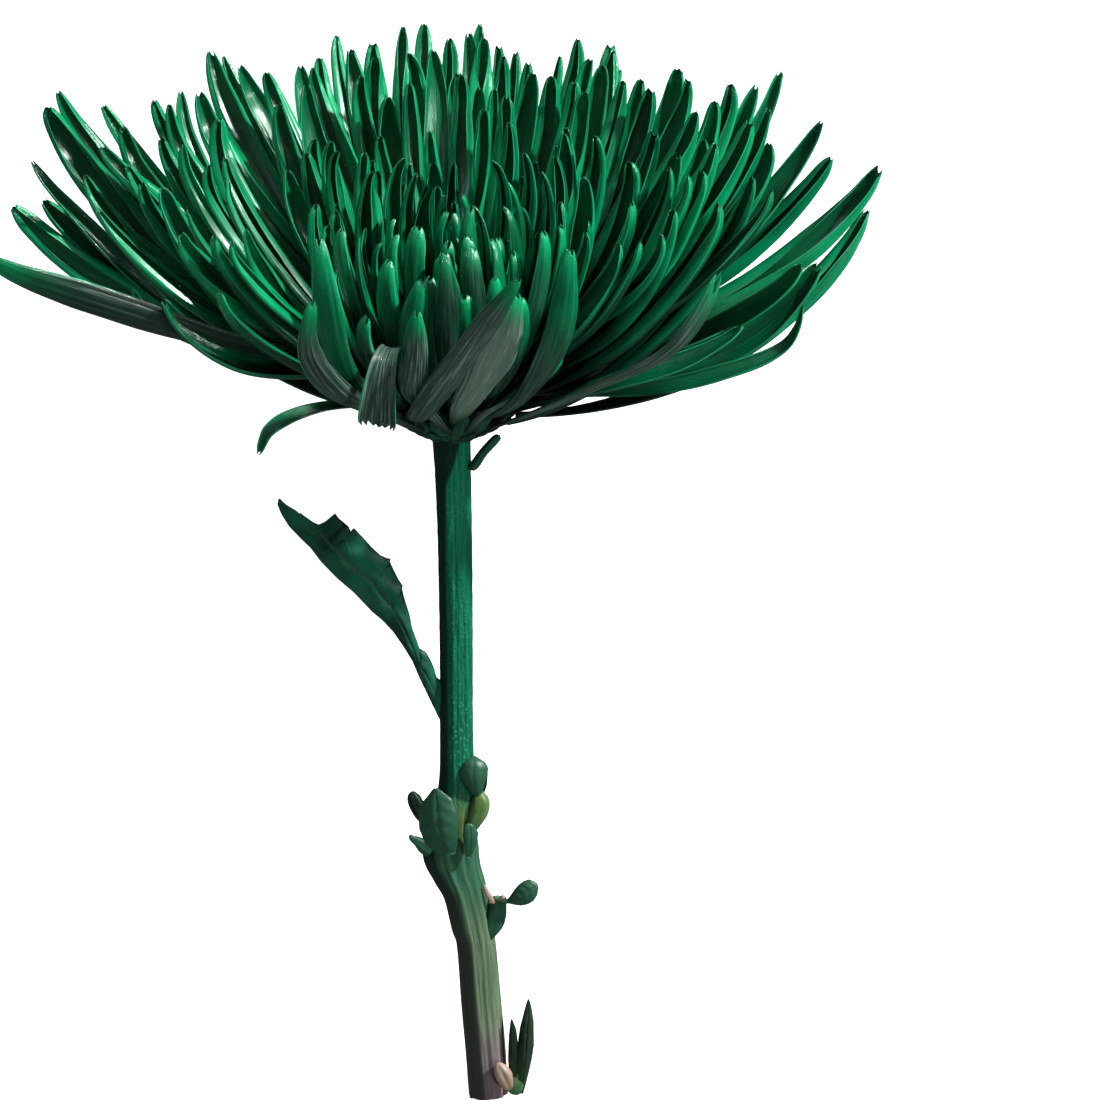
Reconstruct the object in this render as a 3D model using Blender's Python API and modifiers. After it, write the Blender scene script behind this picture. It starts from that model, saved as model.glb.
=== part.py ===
"""One cut stem of a spider chrysanthemum, lying on a surface on its stem's end and the florets of one side.
+Y runs from the cut end to the head, +Z is up. Lengths below are in mm or in units of the drawing grid;
the mesh is in metres."""

import math

import bmesh
import bpy
import numpy as np
from mathutils import Vector
from mathutils.bvhtree import BVHTree

# ---------------------------------------------------------------- layout
UNIT = 0.15  # mm for one unit of the drawing grid: x to the right, y downwards
TIP_X, TIP_Y = 452.0, 428.0  # top of the stem on the grid
CUT_Y = 1098.0  # cut end of the stem on the grid
TILT = math.radians(20.0)  # how steeply the stem rises from its cut end to the head
CUT_R = 2.9  # mm, radius at the cut end, which rests on the surface
BASE_Z = CUT_R * math.cos(TILT) + (CUT_Y - TIP_Y) * UNIT * math.tan(TILT)  # mm, height of the stem's top
NODES = 18  # points along a floret's middle line
DOME_R, DOME_H, DOME_H0 = 64.0, 36.0, 30.0  # receptacle's dome, in grid units
AXIS = np.array([0.0, math.cos(TILT), math.sin(TILT)])
FRONT = np.array([0.0, -math.sin(TILT), math.cos(TILT)])
SIDE = np.array([1.0, 0.0, 0.0])

# Rings of florets on the dome: name, polar angles, rows, columns, sectors that stay one piece
RINGS = [("disc", 6, 22, 2, 7, 1), ("inner", 26, 49, 3, 12, 3), ("middle", 52, 79, 4, 36, 6)]
RAYS = [(88, 19), (106, 17)]  # polar angle and number of the long outer florets

# Height of the surface that the tips make, by distance from the axis
CROWN = [(0, 262), (40, 266), (80, 270), (150, 276), (250, 286), (330, 281), (380, 266), (420, 242), (460, 205), (500, 170)]

# Tips of the florets that show best, on the drawing grid
TIPS = [
    (12, 206), (43, 200), (31, 161), (46, 108), (57, 91), (60, 132), (85, 175), (99, 210),
    (101, 147), (101, 104), (122, 127), (128, 166), (152, 98), (168, 103), (178, 87), (198, 91),
    (161, 138), (184, 145), (209, 166), (226, 158), (230, 180), (143, 184), (163, 188), (189, 211),
    (184, 237), (217, 237), (234, 243), (247, 231), (219, 117), (222, 292), (135, 291), (165, 301),
    (208, 48), (221, 53), (238, 63), (264, 70), (278, 103), (306, 84), (312, 65), (335, 31), (361, 74),
    (375, 55), (402, 22), (423, 19), (432, 47), (409, 82), (461, 74), (484, 35), (503, 53), (528, 60),
    (551, 75), (560, 54), (574, 80), (590, 57), (603, 63), (623, 80), (641, 78), (651, 88), (679, 67),
    (688, 78), (696, 111), (715, 101), (731, 84), (757, 84), (782, 69), (769, 109), (750, 122),
    (769, 144), (822, 121), (832, 157), (880, 167), (868, 209), (838, 251), (819, 264),
    (331, 142), (338, 151), (372, 172), (405, 159), (417, 173), (454, 163), (484, 109), (491, 161),
    (507, 182), (509, 122), (524, 153), (541, 172), (564, 134), (595, 136), (583, 178), (629, 163),
    (654, 132), (669, 168), (677, 155), (687, 176), (704, 140), (715, 144), (702, 172), (752, 178),
    (771, 191), (717, 205), (673, 210), (631, 203), (560, 203), (559, 226), (503, 208), (618, 245),
    (585, 233), (639, 243), (660, 237), (801, 266), (317, 205), (330, 226), (344, 230),
    (361, 237), (391, 261), (419, 227), (472, 248), (445, 271), (432, 278), (369, 318),
    (424, 280), (495, 278), (490, 240), (543, 232), (588, 222), (444, 253),
]

# Florets with a course of their own: points (x, y, depth) from root to tip, widest half-width
# in grid units, and how far the strap is rolled about its middle line, in degrees
COURSES = {
    "front_diagonal": ([(418, 416, 70), (428, 403, 112), (456, 366, 166), (487, 324, 210), (519, 281, 236)], 15, 8),
    "far_left": ([(396, 414, 24), (300, 357, 62), (205, 333, 80), (110, 302, 88), (20, 272, 92), (-14, 258, 92)], 17, -72),
    "front_left": ([(412, 418, 58), (362, 405, 135), (328, 382, 190), (309, 346, 228), (314, 303, 242)], 13, -50),
    "front_left_inner": ([(405, 414, 52), (364, 400, 118), (341, 366, 170), (329, 312, 203), (321, 241, 195)], 15, -20),
    "reflexed": ([(430, 414, 62), (408, 384, 112), (393, 346, 148), (383, 364, 180), (377, 430, 190)], 22, 0),
    "front_centre": ([(424, 420, 60), (413, 398, 96), (413, 360, 140), (418, 312, 150)], 14, 0),
    "front_right_broad": ([(446, 422, 60), (466, 402, 98), (490, 362, 140), (507, 322, 166), (515, 294, 174)], 21, 14),
    "under_right": ([(462, 425, 46), (498, 410, 82), (532, 388, 98), (562, 358, 100)], 14, -20),
    "front_right": ([(476, 420, 58), (526, 392, 110), (560, 334, 160), (570, 251, 168)], 14, 40),
    "drooping": ([(404, 420, 42), (347, 404, 85), (304, 411, 110), (270, 430, 122), (259, 455, 126)], 9, 20),
    "low_right": ([(508, 419, 26), (584, 393, 52), (641, 389, 62), (713, 374, 70), (781, 345, 68), (802, 305, 60)], 11, -35),
    "bifid_right": ([(490, 417, 50), (598, 384, 115), (676, 343, 150), (717, 275, 155)], 15, 15),
    "low_right_broad": ([(500, 418, 40), (600, 386, 85), (682, 360, 100), (742, 326, 98)], 15, -30),
}


def place(u, d, h):
    """Grid offsets from the stem's top (right, to the front, along the axis) to mm."""
    u, d, h = (np.asarray(v, float)[..., None] for v in (u, d, h))
    origin = np.array([(TIP_X - 438.5) * UNIT, (558.5 - TIP_Y) * UNIT, BASE_Z])
    return origin + UNIT * (u * SIDE + d * FRONT + h * AXIS)


def drawn(x, y, d):
    """Grid x, y and a depth d to offsets (u, d, h)."""
    d = np.asarray(d, float)
    h = (TIP_Y - np.asarray(y, float) + d * math.sin(TILT)) / math.cos(TILT)
    return np.asarray(x, float) - TIP_X, d, h


def crown(u, d):
    r = np.hypot(u, d)
    fore = (0.5 + 0.5 * d / np.maximum(r, 1)) ** 3
    top = np.interp(r, [p[0] for p in CROWN], [p[1] for p in CROWN]) + 0.045 * u - 0.077 * d
    return top - 88 * fore * np.clip((r - 20) / 140, 0, 1)


def rim(phi):
    """Reach of the outermost tips. phi is 0 at the front and grows to the right."""
    return 440.0 - 275.0 * (0.5 + 0.5 * np.cos(phi)) ** 1.5


def hermite(a, b, ta, tb, n):
    s = np.linspace(0, 1, n)[:, None]
    return (2 * s**3 - 3 * s**2 + 1) * a + (s**3 - 2 * s**2 + s) * ta + (3 * s**2 - 2 * s**3) * b + (s**3 - s**2) * tb


def even(points, n):
    """The same line with its points at equal distances."""
    step = np.r_[0, np.cumsum(np.linalg.norm(np.diff(points, axis=0), axis=1))]
    want = np.linspace(0, step[-1], n)
    return np.stack([np.interp(want, step, points[:, k]) for k in range(points.shape[1])], 1)


def smooth_line(points, n):
    """Smooth line through a few points."""
    p = np.asarray(points, float)
    t = np.r_[0, np.cumsum(np.linalg.norm(np.diff(p, axis=0), axis=1))]
    m = np.zeros_like(p)
    m[1:-1] = (p[2:] - p[:-2]) / (t[2:] - t[:-2])[:, None]
    m[0] = (p[1] - p[0]) / (t[1] - t[0]) * 1.5 - m[1] * 0.5
    m[-1] = (p[-1] - p[-2]) / (t[-1] - t[-2]) * 1.5 - m[-2] * 0.5
    out = [hermite(p[k], p[k + 1], m[k] * (t[k + 1] - t[k]), m[k + 1] * (t[k + 1] - t[k]), 24)[:-1] for k in range(len(p) - 1)]
    return even(np.concatenate(out + [p[-1:]]), n)


def on_dome(polar, phi, lift=0.0):
    """Point of the dome, and the direction straight out of it, in offsets."""
    s, c = math.sin(polar), math.cos(polar)
    out = np.array([s / DOME_R * math.sin(phi), s / DOME_R * math.cos(phi), c / DOME_H])
    out /= np.linalg.norm(out)
    return np.array([DOME_R * s * math.sin(phi), DOME_R * s * math.cos(phi), DOME_H0 + DOME_H * c]) + lift * out, out


def width_share(s, ray):
    """Half-width along a floret as a share of its widest."""
    base = [0.38, 0.42, 0.64] if ray else [0.27, 0.31, 0.58]
    return np.interp(s, [0, 0.08, 0.25, 0.45, 0.62, 0.78, 0.90, 1.0], base + [0.94, 1.0, 0.96, 0.80, 0.42])


def plan():
    """Every floret's place on the dome, before it grows."""
    out, k = [], 0
    total = sum(r[3] * r[4] for r in RINGS) + sum(r[1] for r in RAYS)
    rng = np.random.default_rng(11)
    for name, low, high, rows, cols, sectors in RINGS:
        for row in range(rows):
            for col in range(cols):
                polar = math.radians(low + (high - low) * (row + 0.5) / rows)
                phi = 2 * math.pi * (col + 0.5 + 0.5 * row) / cols
                phi += 0.36 * math.sin(phi) * (name == "middle")
                rank = k + row * cols + rng.uniform(0.05, 0.95) * cols
                sector = col * sectors // cols
                out.append(dict(group=f"{name}_{sector + 1}", ring=name, row=row, col=col, polar=polar, phi=phi, q=math.sqrt(rank / total), ray=False))
        k += rows * cols
    for row, (angle, count) in enumerate(RAYS):
        for col in range(count):
            phi = 2 * math.pi * (col + 0.3 + 0.5 * row) / count + rng.normal(0, 0.02)
            rank = k + rng.uniform(0, 1) * count
            out.append(dict(group="", ring="ray", row=row, col=col, polar=math.radians(angle), phi=phi, q=math.sqrt(rank / total), ray=True))
        k += count
    return out


def grow():
    """Middle line, half-width, roll and pin of each floret, in mm."""
    rng = np.random.default_rng(5)
    florets = plan()
    n = len(florets)
    q = np.array([f["q"] for f in florets])
    phi = np.array([f["phi"] for f in florets])
    ray = np.array([f["ray"] for f in florets])
    tip_phi = phi + rng.normal(0, 0.05, n) * np.where(q < 0.6, 2.6, 1.0)
    reach = rim(tip_phi) * (0.04 + 0.96 * q**1.55) * (1 + rng.normal(0, 0.05, n))
    reach = np.where(ray, rim(tip_phi) * rng.uniform(0.88, 1.02, n), reach)
    tu, td = reach * np.sin(tip_phi), reach * np.cos(tip_phi)
    th = crown(tu, td) * (1 + rng.uniform(-0.13, 0.05, n)) - 18.0 * ray * rng.uniform(0, 1, n)
    ru = np.array([on_dome(f["polar"], f["phi"])[0] for f in florets])
    used = np.zeros(n, bool)
    for name, (pts, hw, roll) in COURSES.items():
        u, d, h = drawn(*np.array(pts, float).T)
        far = np.hypot(u[0] - ru[:, 0], d[0] - ru[:, 1]) + 1e3 * ~ray + 1e6 * used
        i = int(np.argmin(far))
        used[i] = True
        florets[i]["course"] = (name, np.stack([u, d, h], 1), hw, roll)
    for x, y in TIPS:
        u = x - TIP_X
        d = np.linspace(-460, 300, 381)
        r = np.hypot(u, d)
        miss = np.abs(crown(u, d) * math.cos(TILT) - d * math.sin(TILT) - (TIP_Y - y)) + 5 * np.maximum(0, r - 1.04 * rim(np.arctan2(u, d)))
        d = d[int(np.argmin(miss))]
        far = np.sqrt((tu - u) ** 2 + (0.6 * (td - d)) ** 2) + 1e6 * used
        i = int(np.argmin(far))
        used[i] = True
        tu[i], td[i] = u, d
        th[i] = drawn(x, y, d)[2]
        florets[i]["tip"] = True
    fore = 0.5 + 0.5 * np.cos(tip_phi)
    sunk = 1 - np.where(q < 0.5, 0.26, 0.05 + 0.15 * fore) * rng.uniform(0.1, 1.0, n)
    th = np.where(used | ray, th, th * sunk)
    level = TIP_Y - th * math.cos(TILT) + td * math.sin(TILT)  # how low each tip shows
    deep = np.clip(level - 236, 0, None) * (fore > 0.5)
    th = np.where(used, th, th + rng.uniform(0.1, 0.85, n) * deep / math.cos(TILT))
    odd = np.array([(f["row"] + f["col"]) % 2 for f in florets])
    short = ~used & ~ray & (fore > 0.74) & (odd == 0)  # at the front every other one stays short
    th = np.where(short, th * rng.uniform(0.48, 0.70, n), th)
    tu, td = np.where(short, 0.86 * tu, tu), np.where(short, 0.86 * td, td)
    lines, half, roll, flat, pin = [], [], [], [], []
    s = np.linspace(0, 1, NODES)
    for i, f in enumerate(florets):
        if "course" in f:
            name, pts, hw, turn = f["course"]
            root, _ = on_dome(f["polar"], f["phi"], 3.0)
            pts = np.vstack([root, pts[1:]])
            lines.append(smooth_line(place(pts[:, 0], pts[:, 1], pts[:, 2]), NODES))
            share = width_share(s, True)
            if name == "reflexed":
                share = np.interp(s, [0, 0.1, 0.3, 0.55, 0.8, 1], [0.4, 0.42, 0.44, 0.5, 0.84, 1.06])
            if name == "front_diagonal":
                share = np.interp(s, [0, 0.08, 0.2, 0.4, 0.7, 0.85, 0.95, 1], [0.6, 0.9, 1.0, 1.0, 0.96, 0.82, 0.58, 0.42])
            if name == "front_right_broad":
                share = np.interp(s, [0, 0.1, 0.3, 0.55, 0.8, 0.93, 1], [0.42, 0.55, 0.80, 1.0, 0.96, 0.72, 0.45])
            half.append(hw * UNIT * share)
            roll.append(math.radians(turn))
            flat.append(0.42)
            pin.append(2)
            continue
        a, straight = on_dome(f["polar"], f["phi"], 3.0 if f["ray"] else 0.0)
        b = np.array([tu[i], td[i], th[i]])
        length = np.linalg.norm(b - a)
        to = math.atan2(b[0] - a[0], b[1] - a[1])
        turn = (to - f["phi"] + math.pi) % (2 * math.pi) - math.pi
        lead = f["phi"] + (0.5 * turn if abs(turn) < 1.2 else 0.0)
        chord = math.atan2(b[2] - a[2], math.hypot(b[0], b[1]) - math.hypot(a[0], a[1]))
        bow = math.radians(rng.uniform(10, 20) + 8 * (1 - f["q"]))
        sway = rng.normal(0, 0.24) * (1.7 if f["q"] < 0.8 else 1.0)
        low = max(chord - bow, math.radians(2))
        high = chord + 1.5 * bow
        start = np.array([math.sin(lead) * math.cos(low), math.cos(lead) * math.cos(low), math.sin(low)])
        start = start + 0.35 * straight
        start *= length / np.linalg.norm(start)
        end = length * np.array([math.sin(to + sway) * math.cos(high), math.cos(to + sway) * math.cos(high), math.sin(high)])
        line = hermite(a, b, start, end, 40)
        lines.append(even(place(line[:, 0], line[:, 1], line[:, 2]), NODES))
        back = 0.5 - 0.5 * math.cos(to)
        wide = np.interp(f["q"], [0, 0.25, 0.5, 0.8, 1], [9.0, 11.0, 13.0, 14.5, 15.5]) * (1 - 0.10 * back - 0.24 * f["q"] * (1 - back) ** 2) * rng.uniform(0.84, 1.14)
        half.append(wide * UNIT * width_share(s, f["ray"]))
        roll.append(rng.normal(0, math.radians(17)) - math.radians(34) * math.sin(to) - math.radians(10) * max(0, math.sin(to)))
        flat.append(rng.uniform(0.54, 0.68))
        pin.append(1 if "tip" in f else 0)
    return florets, np.array(lines), np.array(half), np.array(roll), np.array(flat), np.array(pin)


def frames(x, roll):
    """Tangent, sideways and upper-face directions along each middle line."""
    t = np.gradient(x, axis=1)
    t /= np.linalg.norm(t, axis=2, keepdims=True)
    mid = x[:, x.shape[1] // 2] - place(0, 0, 0)
    phi = np.arctan2(mid @ SIDE, mid @ FRONT)
    across = np.cos(phi)[:, None] * SIDE - np.sin(phi)[:, None] * FRONT
    lat = across[:, None, :] - (across[:, None, :] * t).sum(2, keepdims=True) * t
    lat /= np.linalg.norm(lat, axis=2, keepdims=True)
    n = np.cross(lat, t)
    a = roll[:, None, None] * np.clip(np.linspace(0, 1.6, x.shape[1]), 0, 1)[None, :, None]
    return t, lat * np.cos(a) + n * np.sin(a), n * np.cos(a) - lat * np.sin(a)


def near_pairs(points, owner, reach):
    """Pairs of points of different florets closer than reach."""
    cell = np.floor(points / reach).astype(np.int64)
    cell -= cell.min(0) - 1
    dims = cell.max(0) + 2
    key = (cell[:, 0] * dims[1] + cell[:, 1]) * dims[2] + cell[:, 2]
    order = np.argsort(key, kind="stable")
    ranked = key[order]
    first, second = [], []
    for dx in (-1, 0, 1):
        for dy in (-1, 0, 1):
            for dz in (-1, 0, 1):
                want = key + (dx * dims[1] + dy) * dims[2] + dz
                low = np.searchsorted(ranked, want, "left")
                num = np.searchsorted(ranked, want, "right") - low
                a = np.repeat(np.arange(len(key)), num)
                b = order[np.repeat(low - np.r_[0, np.cumsum(num)[:-1]], num) + np.arange(len(a))]
                keep = (a < b) & (owner[a] != owner[b])
                a, b = a[keep], b[keep]
                near = ((points[a] - points[b]) ** 2).sum(1) < reach * reach
                first.append(a[near])
                second.append(b[near])
    return np.concatenate(first), np.concatenate(second)


def squeeze(x, half, thick, roll, i, j, gap, slack=1.0):
    """How far two florets' sections overlap at a pair of points: below 1 they do."""
    t, lat, n = (v.reshape(-1, 3) for v in frames(x, roll))
    p = x.reshape(-1, 3)
    hf, kf = half.reshape(-1), thick.reshape(-1)
    delta = p[i] - p[j]
    tm = t[i] + t[j] * np.sign((t[i] * t[j]).sum(1))[:, None]
    tm /= np.linalg.norm(tm, axis=1, keepdims=True) + 1e-9
    along = (delta * tm).sum(1)
    cross = delta - along[:, None] * tm
    nm = n[i] + n[j] * np.sign((n[i] * n[j]).sum(1))[:, None]
    nm -= (nm * tm).sum(1)[:, None] * tm
    nm /= np.linalg.norm(nm, axis=1, keepdims=True) + 1e-9
    lm = np.cross(tm, nm)
    dl, dn = (cross * lm).sum(1), (cross * nm).sum(1)
    wl, wn = (hf[i] + hf[j] + gap) * slack, (kf[i] + kf[j] + gap) * slack
    return np.sqrt((dl / wl) ** 2 + (dn / wn) ** 2) + 1e-6, along, dl, dn, wl, wn, lm, nm


def settle(x, half, flat, roll, pin, rounds=130, gap=0.25):
    """Florets make room for each other and lie on the surface below."""
    count, m = x.shape[:2]
    rest = np.linalg.norm(np.diff(x, axis=1), axis=2)
    thick = half * flat[:, None]
    _, lat, n = frames(x, roll)
    low = np.hypot(half * lat[..., 2], thick * n[..., 2])
    z = x[..., 2]
    x[..., 2] = np.where(z - low > 5, z, low + 5 * np.exp(np.minimum(0, z - low - 5) / 5))
    home = x.copy()
    owner, order = np.repeat(np.arange(count), m), np.tile(np.arange(m), count)
    hold = np.where(pin == 2, 0.30, np.where(pin == 1, 0.06, 0.03))[:, None, None] * np.ones((1, m, 1))
    give = np.where(pin == 2, 0.25, 1.0)
    for it in range(rounds):
        if it % 8 == 0:
            near = near_pairs(x.reshape(-1, 3), owner, 6.0)
        i, j = near
        e, along, dl, dn, wl, wn, lm, nm = squeeze(x, half, thick, roll, i, j, gap, min(1.0, 0.35 + 0.65 * it / (0.6 * rounds)))
        seg = 0.62 * np.maximum(rest.mean(1)[owner[i]], rest.mean(1)[owner[j]])
        hit = (e < 1) & (np.abs(along) < seg) & ((order[i] > 0) | (order[j] > 0))
        i, j, e, dl, dn, wl, wn, lm, nm = (v[hit] for v in (i, j, e, dl, dn, wl, wn, lm, nm))
        gl, gn = dl / wl**2 / e, np.where(np.abs(dn) < 1e-3, 1e-3, dn) / wn**2 / e
        step = (1 - e) / (gl**2 + gn**2)
        push = (gl * step)[:, None] * lm + (gn * step)[:, None] * nm
        push *= np.minimum(1, 0.8 / (np.linalg.norm(push, axis=1, keepdims=True) + 1e-9))
        share = (give[owner[i]] / (give[owner[i]] + give[owner[j]]))[:, None]
        move, hits = np.zeros((count * m, 3)), np.zeros(count * m)
        for k in range(3):
            move[:, k] = np.bincount(i, (push * share)[:, k], count * m) - np.bincount(j, (push * (1 - share))[:, k], count * m)
        hits = np.bincount(i, minlength=count * m) + np.bincount(j, minlength=count * m)
        move = (move / np.sqrt(np.maximum(1, hits))[:, None]).reshape(count, m, 3)
        for _ in range(2):  # a push on one point carries its neighbours along
            move[:, 0] = 0
            soft = move.copy()
            soft[:, 1:-1] = 0.25 * move[:, :-2] + 0.5 * move[:, 1:-1] + 0.25 * move[:, 2:]
            soft[:, -1] = 0.4 * move[:, -2] + 0.6 * move[:, -1]
            move = soft
        move[:, 0] = 0
        x = x + 0.9 * move
        x = x + 0.5 * hold * (home - x) * (1 - 0.75 * it / rounds)
        x[pin > 0, -1, :2] += 0.4 * (home[pin > 0, -1, :2] - x[pin > 0, -1, :2])
        for _ in range(2):  # a floret keeps its bend and its length
            bend = x[:, 1:-1] - 0.5 * (x[:, :-2] + x[:, 2:]) - home[:, 1:-1] + 0.5 * (home[:, :-2] + home[:, 2:])
            x[:, 1:-1] -= 0.35 * bend
            link = np.diff(x, axis=1)
            size = np.linalg.norm(link, axis=2)
            fix = link * ((size - rest) / size * 0.25)[..., None]
            x[:, 1:] -= fix
            x[:, :-1] += fix
            x[:, 0] = home[:, 0]
        _, lat, n = frames(x, roll)
        x[..., 2] = np.maximum(x[..., 2], np.hypot(half * lat[..., 2], thick * n[..., 2]))
    return x

# ---------------------------------------------------------------- building
def metres(points):
    return np.asarray(points, float) * 0.001


def paint(name, colour, roughness):
    mat = bpy.data.materials.new(name)
    mat.use_nodes = True
    shader = mat.node_tree.nodes["Principled BSDF"]
    shader.inputs["Base Color"].default_value = (*colour, 1)
    shader.inputs["Roughness"].default_value = roughness
    shader.inputs["Metallic"].default_value = 0.0
    return mat


def finish(bm, name, colour, roughness, smooth=True):
    bmesh.ops.recalc_face_normals(bm, faces=bm.faces)
    bmesh.ops.triangulate(bm, faces=bm.faces)
    mesh = bpy.data.meshes.new(name)
    bm.to_mesh(mesh)
    bm.free()
    if smooth:
        mesh.shade_smooth()
        mesh.set_sharp_from_angle(angle=math.radians(40))
    obj = bpy.data.objects.new(name, mesh)
    obj.data.materials.append(paint(name + "_finish", colour, roughness))
    FLOWER.objects.link(obj)
    return obj


def section(centre, lat, n, half, thick, sides):
    """Corners of one cross-section, going round it once."""
    if sides == 4:
        round_ = [(-0.92, -0.62), (0.92, -0.62), (0.92, 0.62), (-0.92, 0.62)]
    else:
        round_ = [(math.cos(a) if sides > 6 else (1.0, 0.55, -0.55, -1.0, -0.55, 0.55)[k],
                   math.sin(a) if sides > 6 else (0.0, 1.0, 1.0, 0.0, -1.0, -1.0)[k])
                  for k, a in enumerate(2 * math.pi * np.arange(sides) / sides)]
    return [centre + lat * half * a + n * thick * b for a, b in round_]


def push_out(bm, face, corners):
    """Extrude one face and put its corners, in their turn, where they belong."""
    face = bmesh.ops.extrude_discrete_faces(bm, faces=[face])["faces"][0]
    verts = list(face.verts)
    goal = [Vector(c) for c in corners]
    k = len(goal)
    centre = sum((v.co for v in verts), Vector()) / k
    middle = sum(goal, Vector()) / k
    shift = [(v.co - centre).normalized() for v in verts]
    aim = [(g - middle).normalized() for g in goal]
    best = max(((sum(shift[a].dot(aim[(turn + way * a) % k]) for a in range(k)), turn, way) for turn in range(k) for way in (1, -1)))
    for a, v in enumerate(verts):
        v.co = goal[(best[1] + best[2] * a) % k]
    return face


def stations(x, half, thick, lat, n, at):
    """Interpolated centre, half-width, thickness and directions at shares of the length."""
    s = np.linspace(0, 1, len(x))
    mix = lambda a: np.stack([np.interp(at, s, a[:, k]) for k in range(3)], 1)
    lat_, n_ = mix(lat), mix(n)
    lat_ /= np.linalg.norm(lat_, axis=1, keepdims=True)
    n_ /= np.linalg.norm(n_, axis=1, keepdims=True)
    return mix(x), np.interp(at, s, half), np.interp(at, s, thick), lat_, n_


def strap(name, x, half, thick, lat, n, at, sides, colour):
    """One long floret: a tube of unlike sections grown from a short prism."""
    c, hw, ht, la, nn = stations(x, half, thick, lat, n, np.asarray(at))
    bm = bmesh.new()
    bmesh.ops.create_cone(bm, cap_ends=True, segments=sides, radius1=0.001, radius2=0.001, depth=0.001)
    rings = [section(metres(c[k]), la[k], nn[k], hw[k] * 0.001, ht[k] * 0.001, sides) for k in range(len(c))]
    bm.verts.ensure_lookup_table()
    low = [v for v in bm.verts if v.co.z < 0]
    high = [v for v in bm.verts if v.co.z > 0]
    for group, ring in ((low, rings[0]), (high, rings[1])):
        group.sort(key=lambda v: math.atan2(v.co.y, v.co.x) % (2 * math.pi))
        for v, p in zip(group, ring):
            v.co = Vector(p)
    face = max((f for f in bm.faces if len(f.verts) == sides and all(v in high for v in f.verts)), key=lambda f: len(f.verts))
    for ring in rings[2:]:
        face = push_out(bm, face, ring)
    return finish(bm, name, colour, 0.4)


def tuft(name, ring, members, at, colour):
    """Florets that share one patch of the dome, grown out of the patch's own faces."""
    _, low, high, rows, cols, sectors = next(r for r in RINGS if r[0] == ring)
    wide = cols // sectors
    first = min(f["col"] for f, *_ in members)
    closed = sectors == 1
    bm = bmesh.new()
    gap_phi = 0.0 if closed else 0.16 / (DOME_R * UNIT * math.sin(math.radians((low + high) / 2)))
    bmesh.ops.create_grid(bm, x_segments=wide, y_segments=rows, size=1.0)
    cell = {}
    for f in bm.faces:
        m = f.calc_center_median()
        col = min(wide - 1, int((m.x + 1) / 2 * wide))
        row = min(rows - 1, int((m.y + 1) / 2 * rows))
        cell[f.index] = (row, first + col)
    tag = bm.faces.layers.int.new("cell")
    for f in bm.faces:
        row, col = cell[f.index]
        f[tag] = 1 + row * 1000 + col
    top = list(bm.faces)
    spot = {}
    for v in bm.verts:
        share = (v.co.x + 1) / 2
        row = (v.co.y + 1) / 2 * rows
        polar = math.radians(low + (high - low) * row / rows)
        phi = 2 * math.pi * (first + share * wide + 0.5 * (row - 0.5) - 0.0) / cols
        if not closed:
            phi += gap_phi * (1 - 2 * share)
        spot[v.index] = (polar, phi)
        v.co = Vector(metres(place(*on_dome(polar, phi)[0])))
    if closed:
        bmesh.ops.remove_doubles(bm, verts=bm.verts, dist=0.00002)
        # the young middle closes with a low cap
        rim_edges = [e for e in bm.edges if e.is_boundary]
        mid = place(*on_dome(0.0, 0.0)[0])
        inner = [e for e in rim_edges if (e.verts[0].co - Vector(metres(mid))).length < 0.0015]
        bmesh.ops.contextual_create(bm, geom=inner)
    faces = list(bm.faces)
    made = bmesh.ops.extrude_face_region(bm, geom=faces)
    core = Vector(metres(place(0, 0, DOME_H0)))
    under = [g for g in made["geom"] if isinstance(g, bmesh.types.BMVert)]
    for v in under:
        away = v.co - core
        v.co = core + away * (1 - 0.0010 / away.length)
    bmesh.ops.recalc_face_normals(bm, faces=bm.faces)
    below = {f for f in made["geom"] if isinstance(f, bmesh.types.BMFace)}
    outer = [f for f in bm.faces if f[tag] > 0 and f not in below and len(f.verts) == 4 and all(v not in under for v in f.verts)]
    by_cell = {(f["row"], f["col"]): rest for f, *rest in members}
    bmesh.ops.inset_individual(bm, faces=outer, thickness=0.00011)
    for face in outer:
        row, col = divmod(face[tag] - 1, 1000)
        if (row, col) not in by_cell:
            continue
        x, half, thick, lat, n = by_cell[(row, col)]
        c, hw, ht, la, nn = stations(x, half, thick, lat, n, np.asarray(at))
        for k in range(len(c)):
            face = push_out(bm, face, section(metres(c[k]), la[k], nn[k], hw[k] * 0.001, ht[k] * 0.001, 4))
    bmesh.ops.remove_doubles(bm, verts=bm.verts, dist=0.000001)
    return finish(bm, name, colour, 0.4)


def slim(x, half, thick, roll):
    """Florets that still press on a neighbour are made narrower there."""
    owner = np.repeat(np.arange(len(x)), x.shape[1])
    rest = np.linalg.norm(np.diff(x, axis=1), axis=2).mean(1)
    i, j = near_pairs(x.reshape(-1, 3), owner, 6.0)
    for _ in range(8):
        e, along, *_ = squeeze(x, half, thick, roll, i, j, 0.12)
        hit = (e < 1) & (np.abs(along) < 0.62 * np.maximum(rest[owner[i]], rest[owner[j]]))
        if not hit.any():
            break
        share = np.ones(x.shape[0] * x.shape[1])
        for side in (i[hit], j[hit]):
            np.minimum.at(share, side, np.maximum(0.75, 0.35 + 0.65 * e[hit]))
        share = share.reshape(half.shape)
        share[:, 1:-1] = np.minimum(share[:, 1:-1], 0.5 + 0.5 * np.minimum(share[:, :-2], share[:, 2:]))
        half, thick = np.maximum(half * share, 0.22), np.maximum(thick * share, 0.18)
    return half, thick


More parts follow.
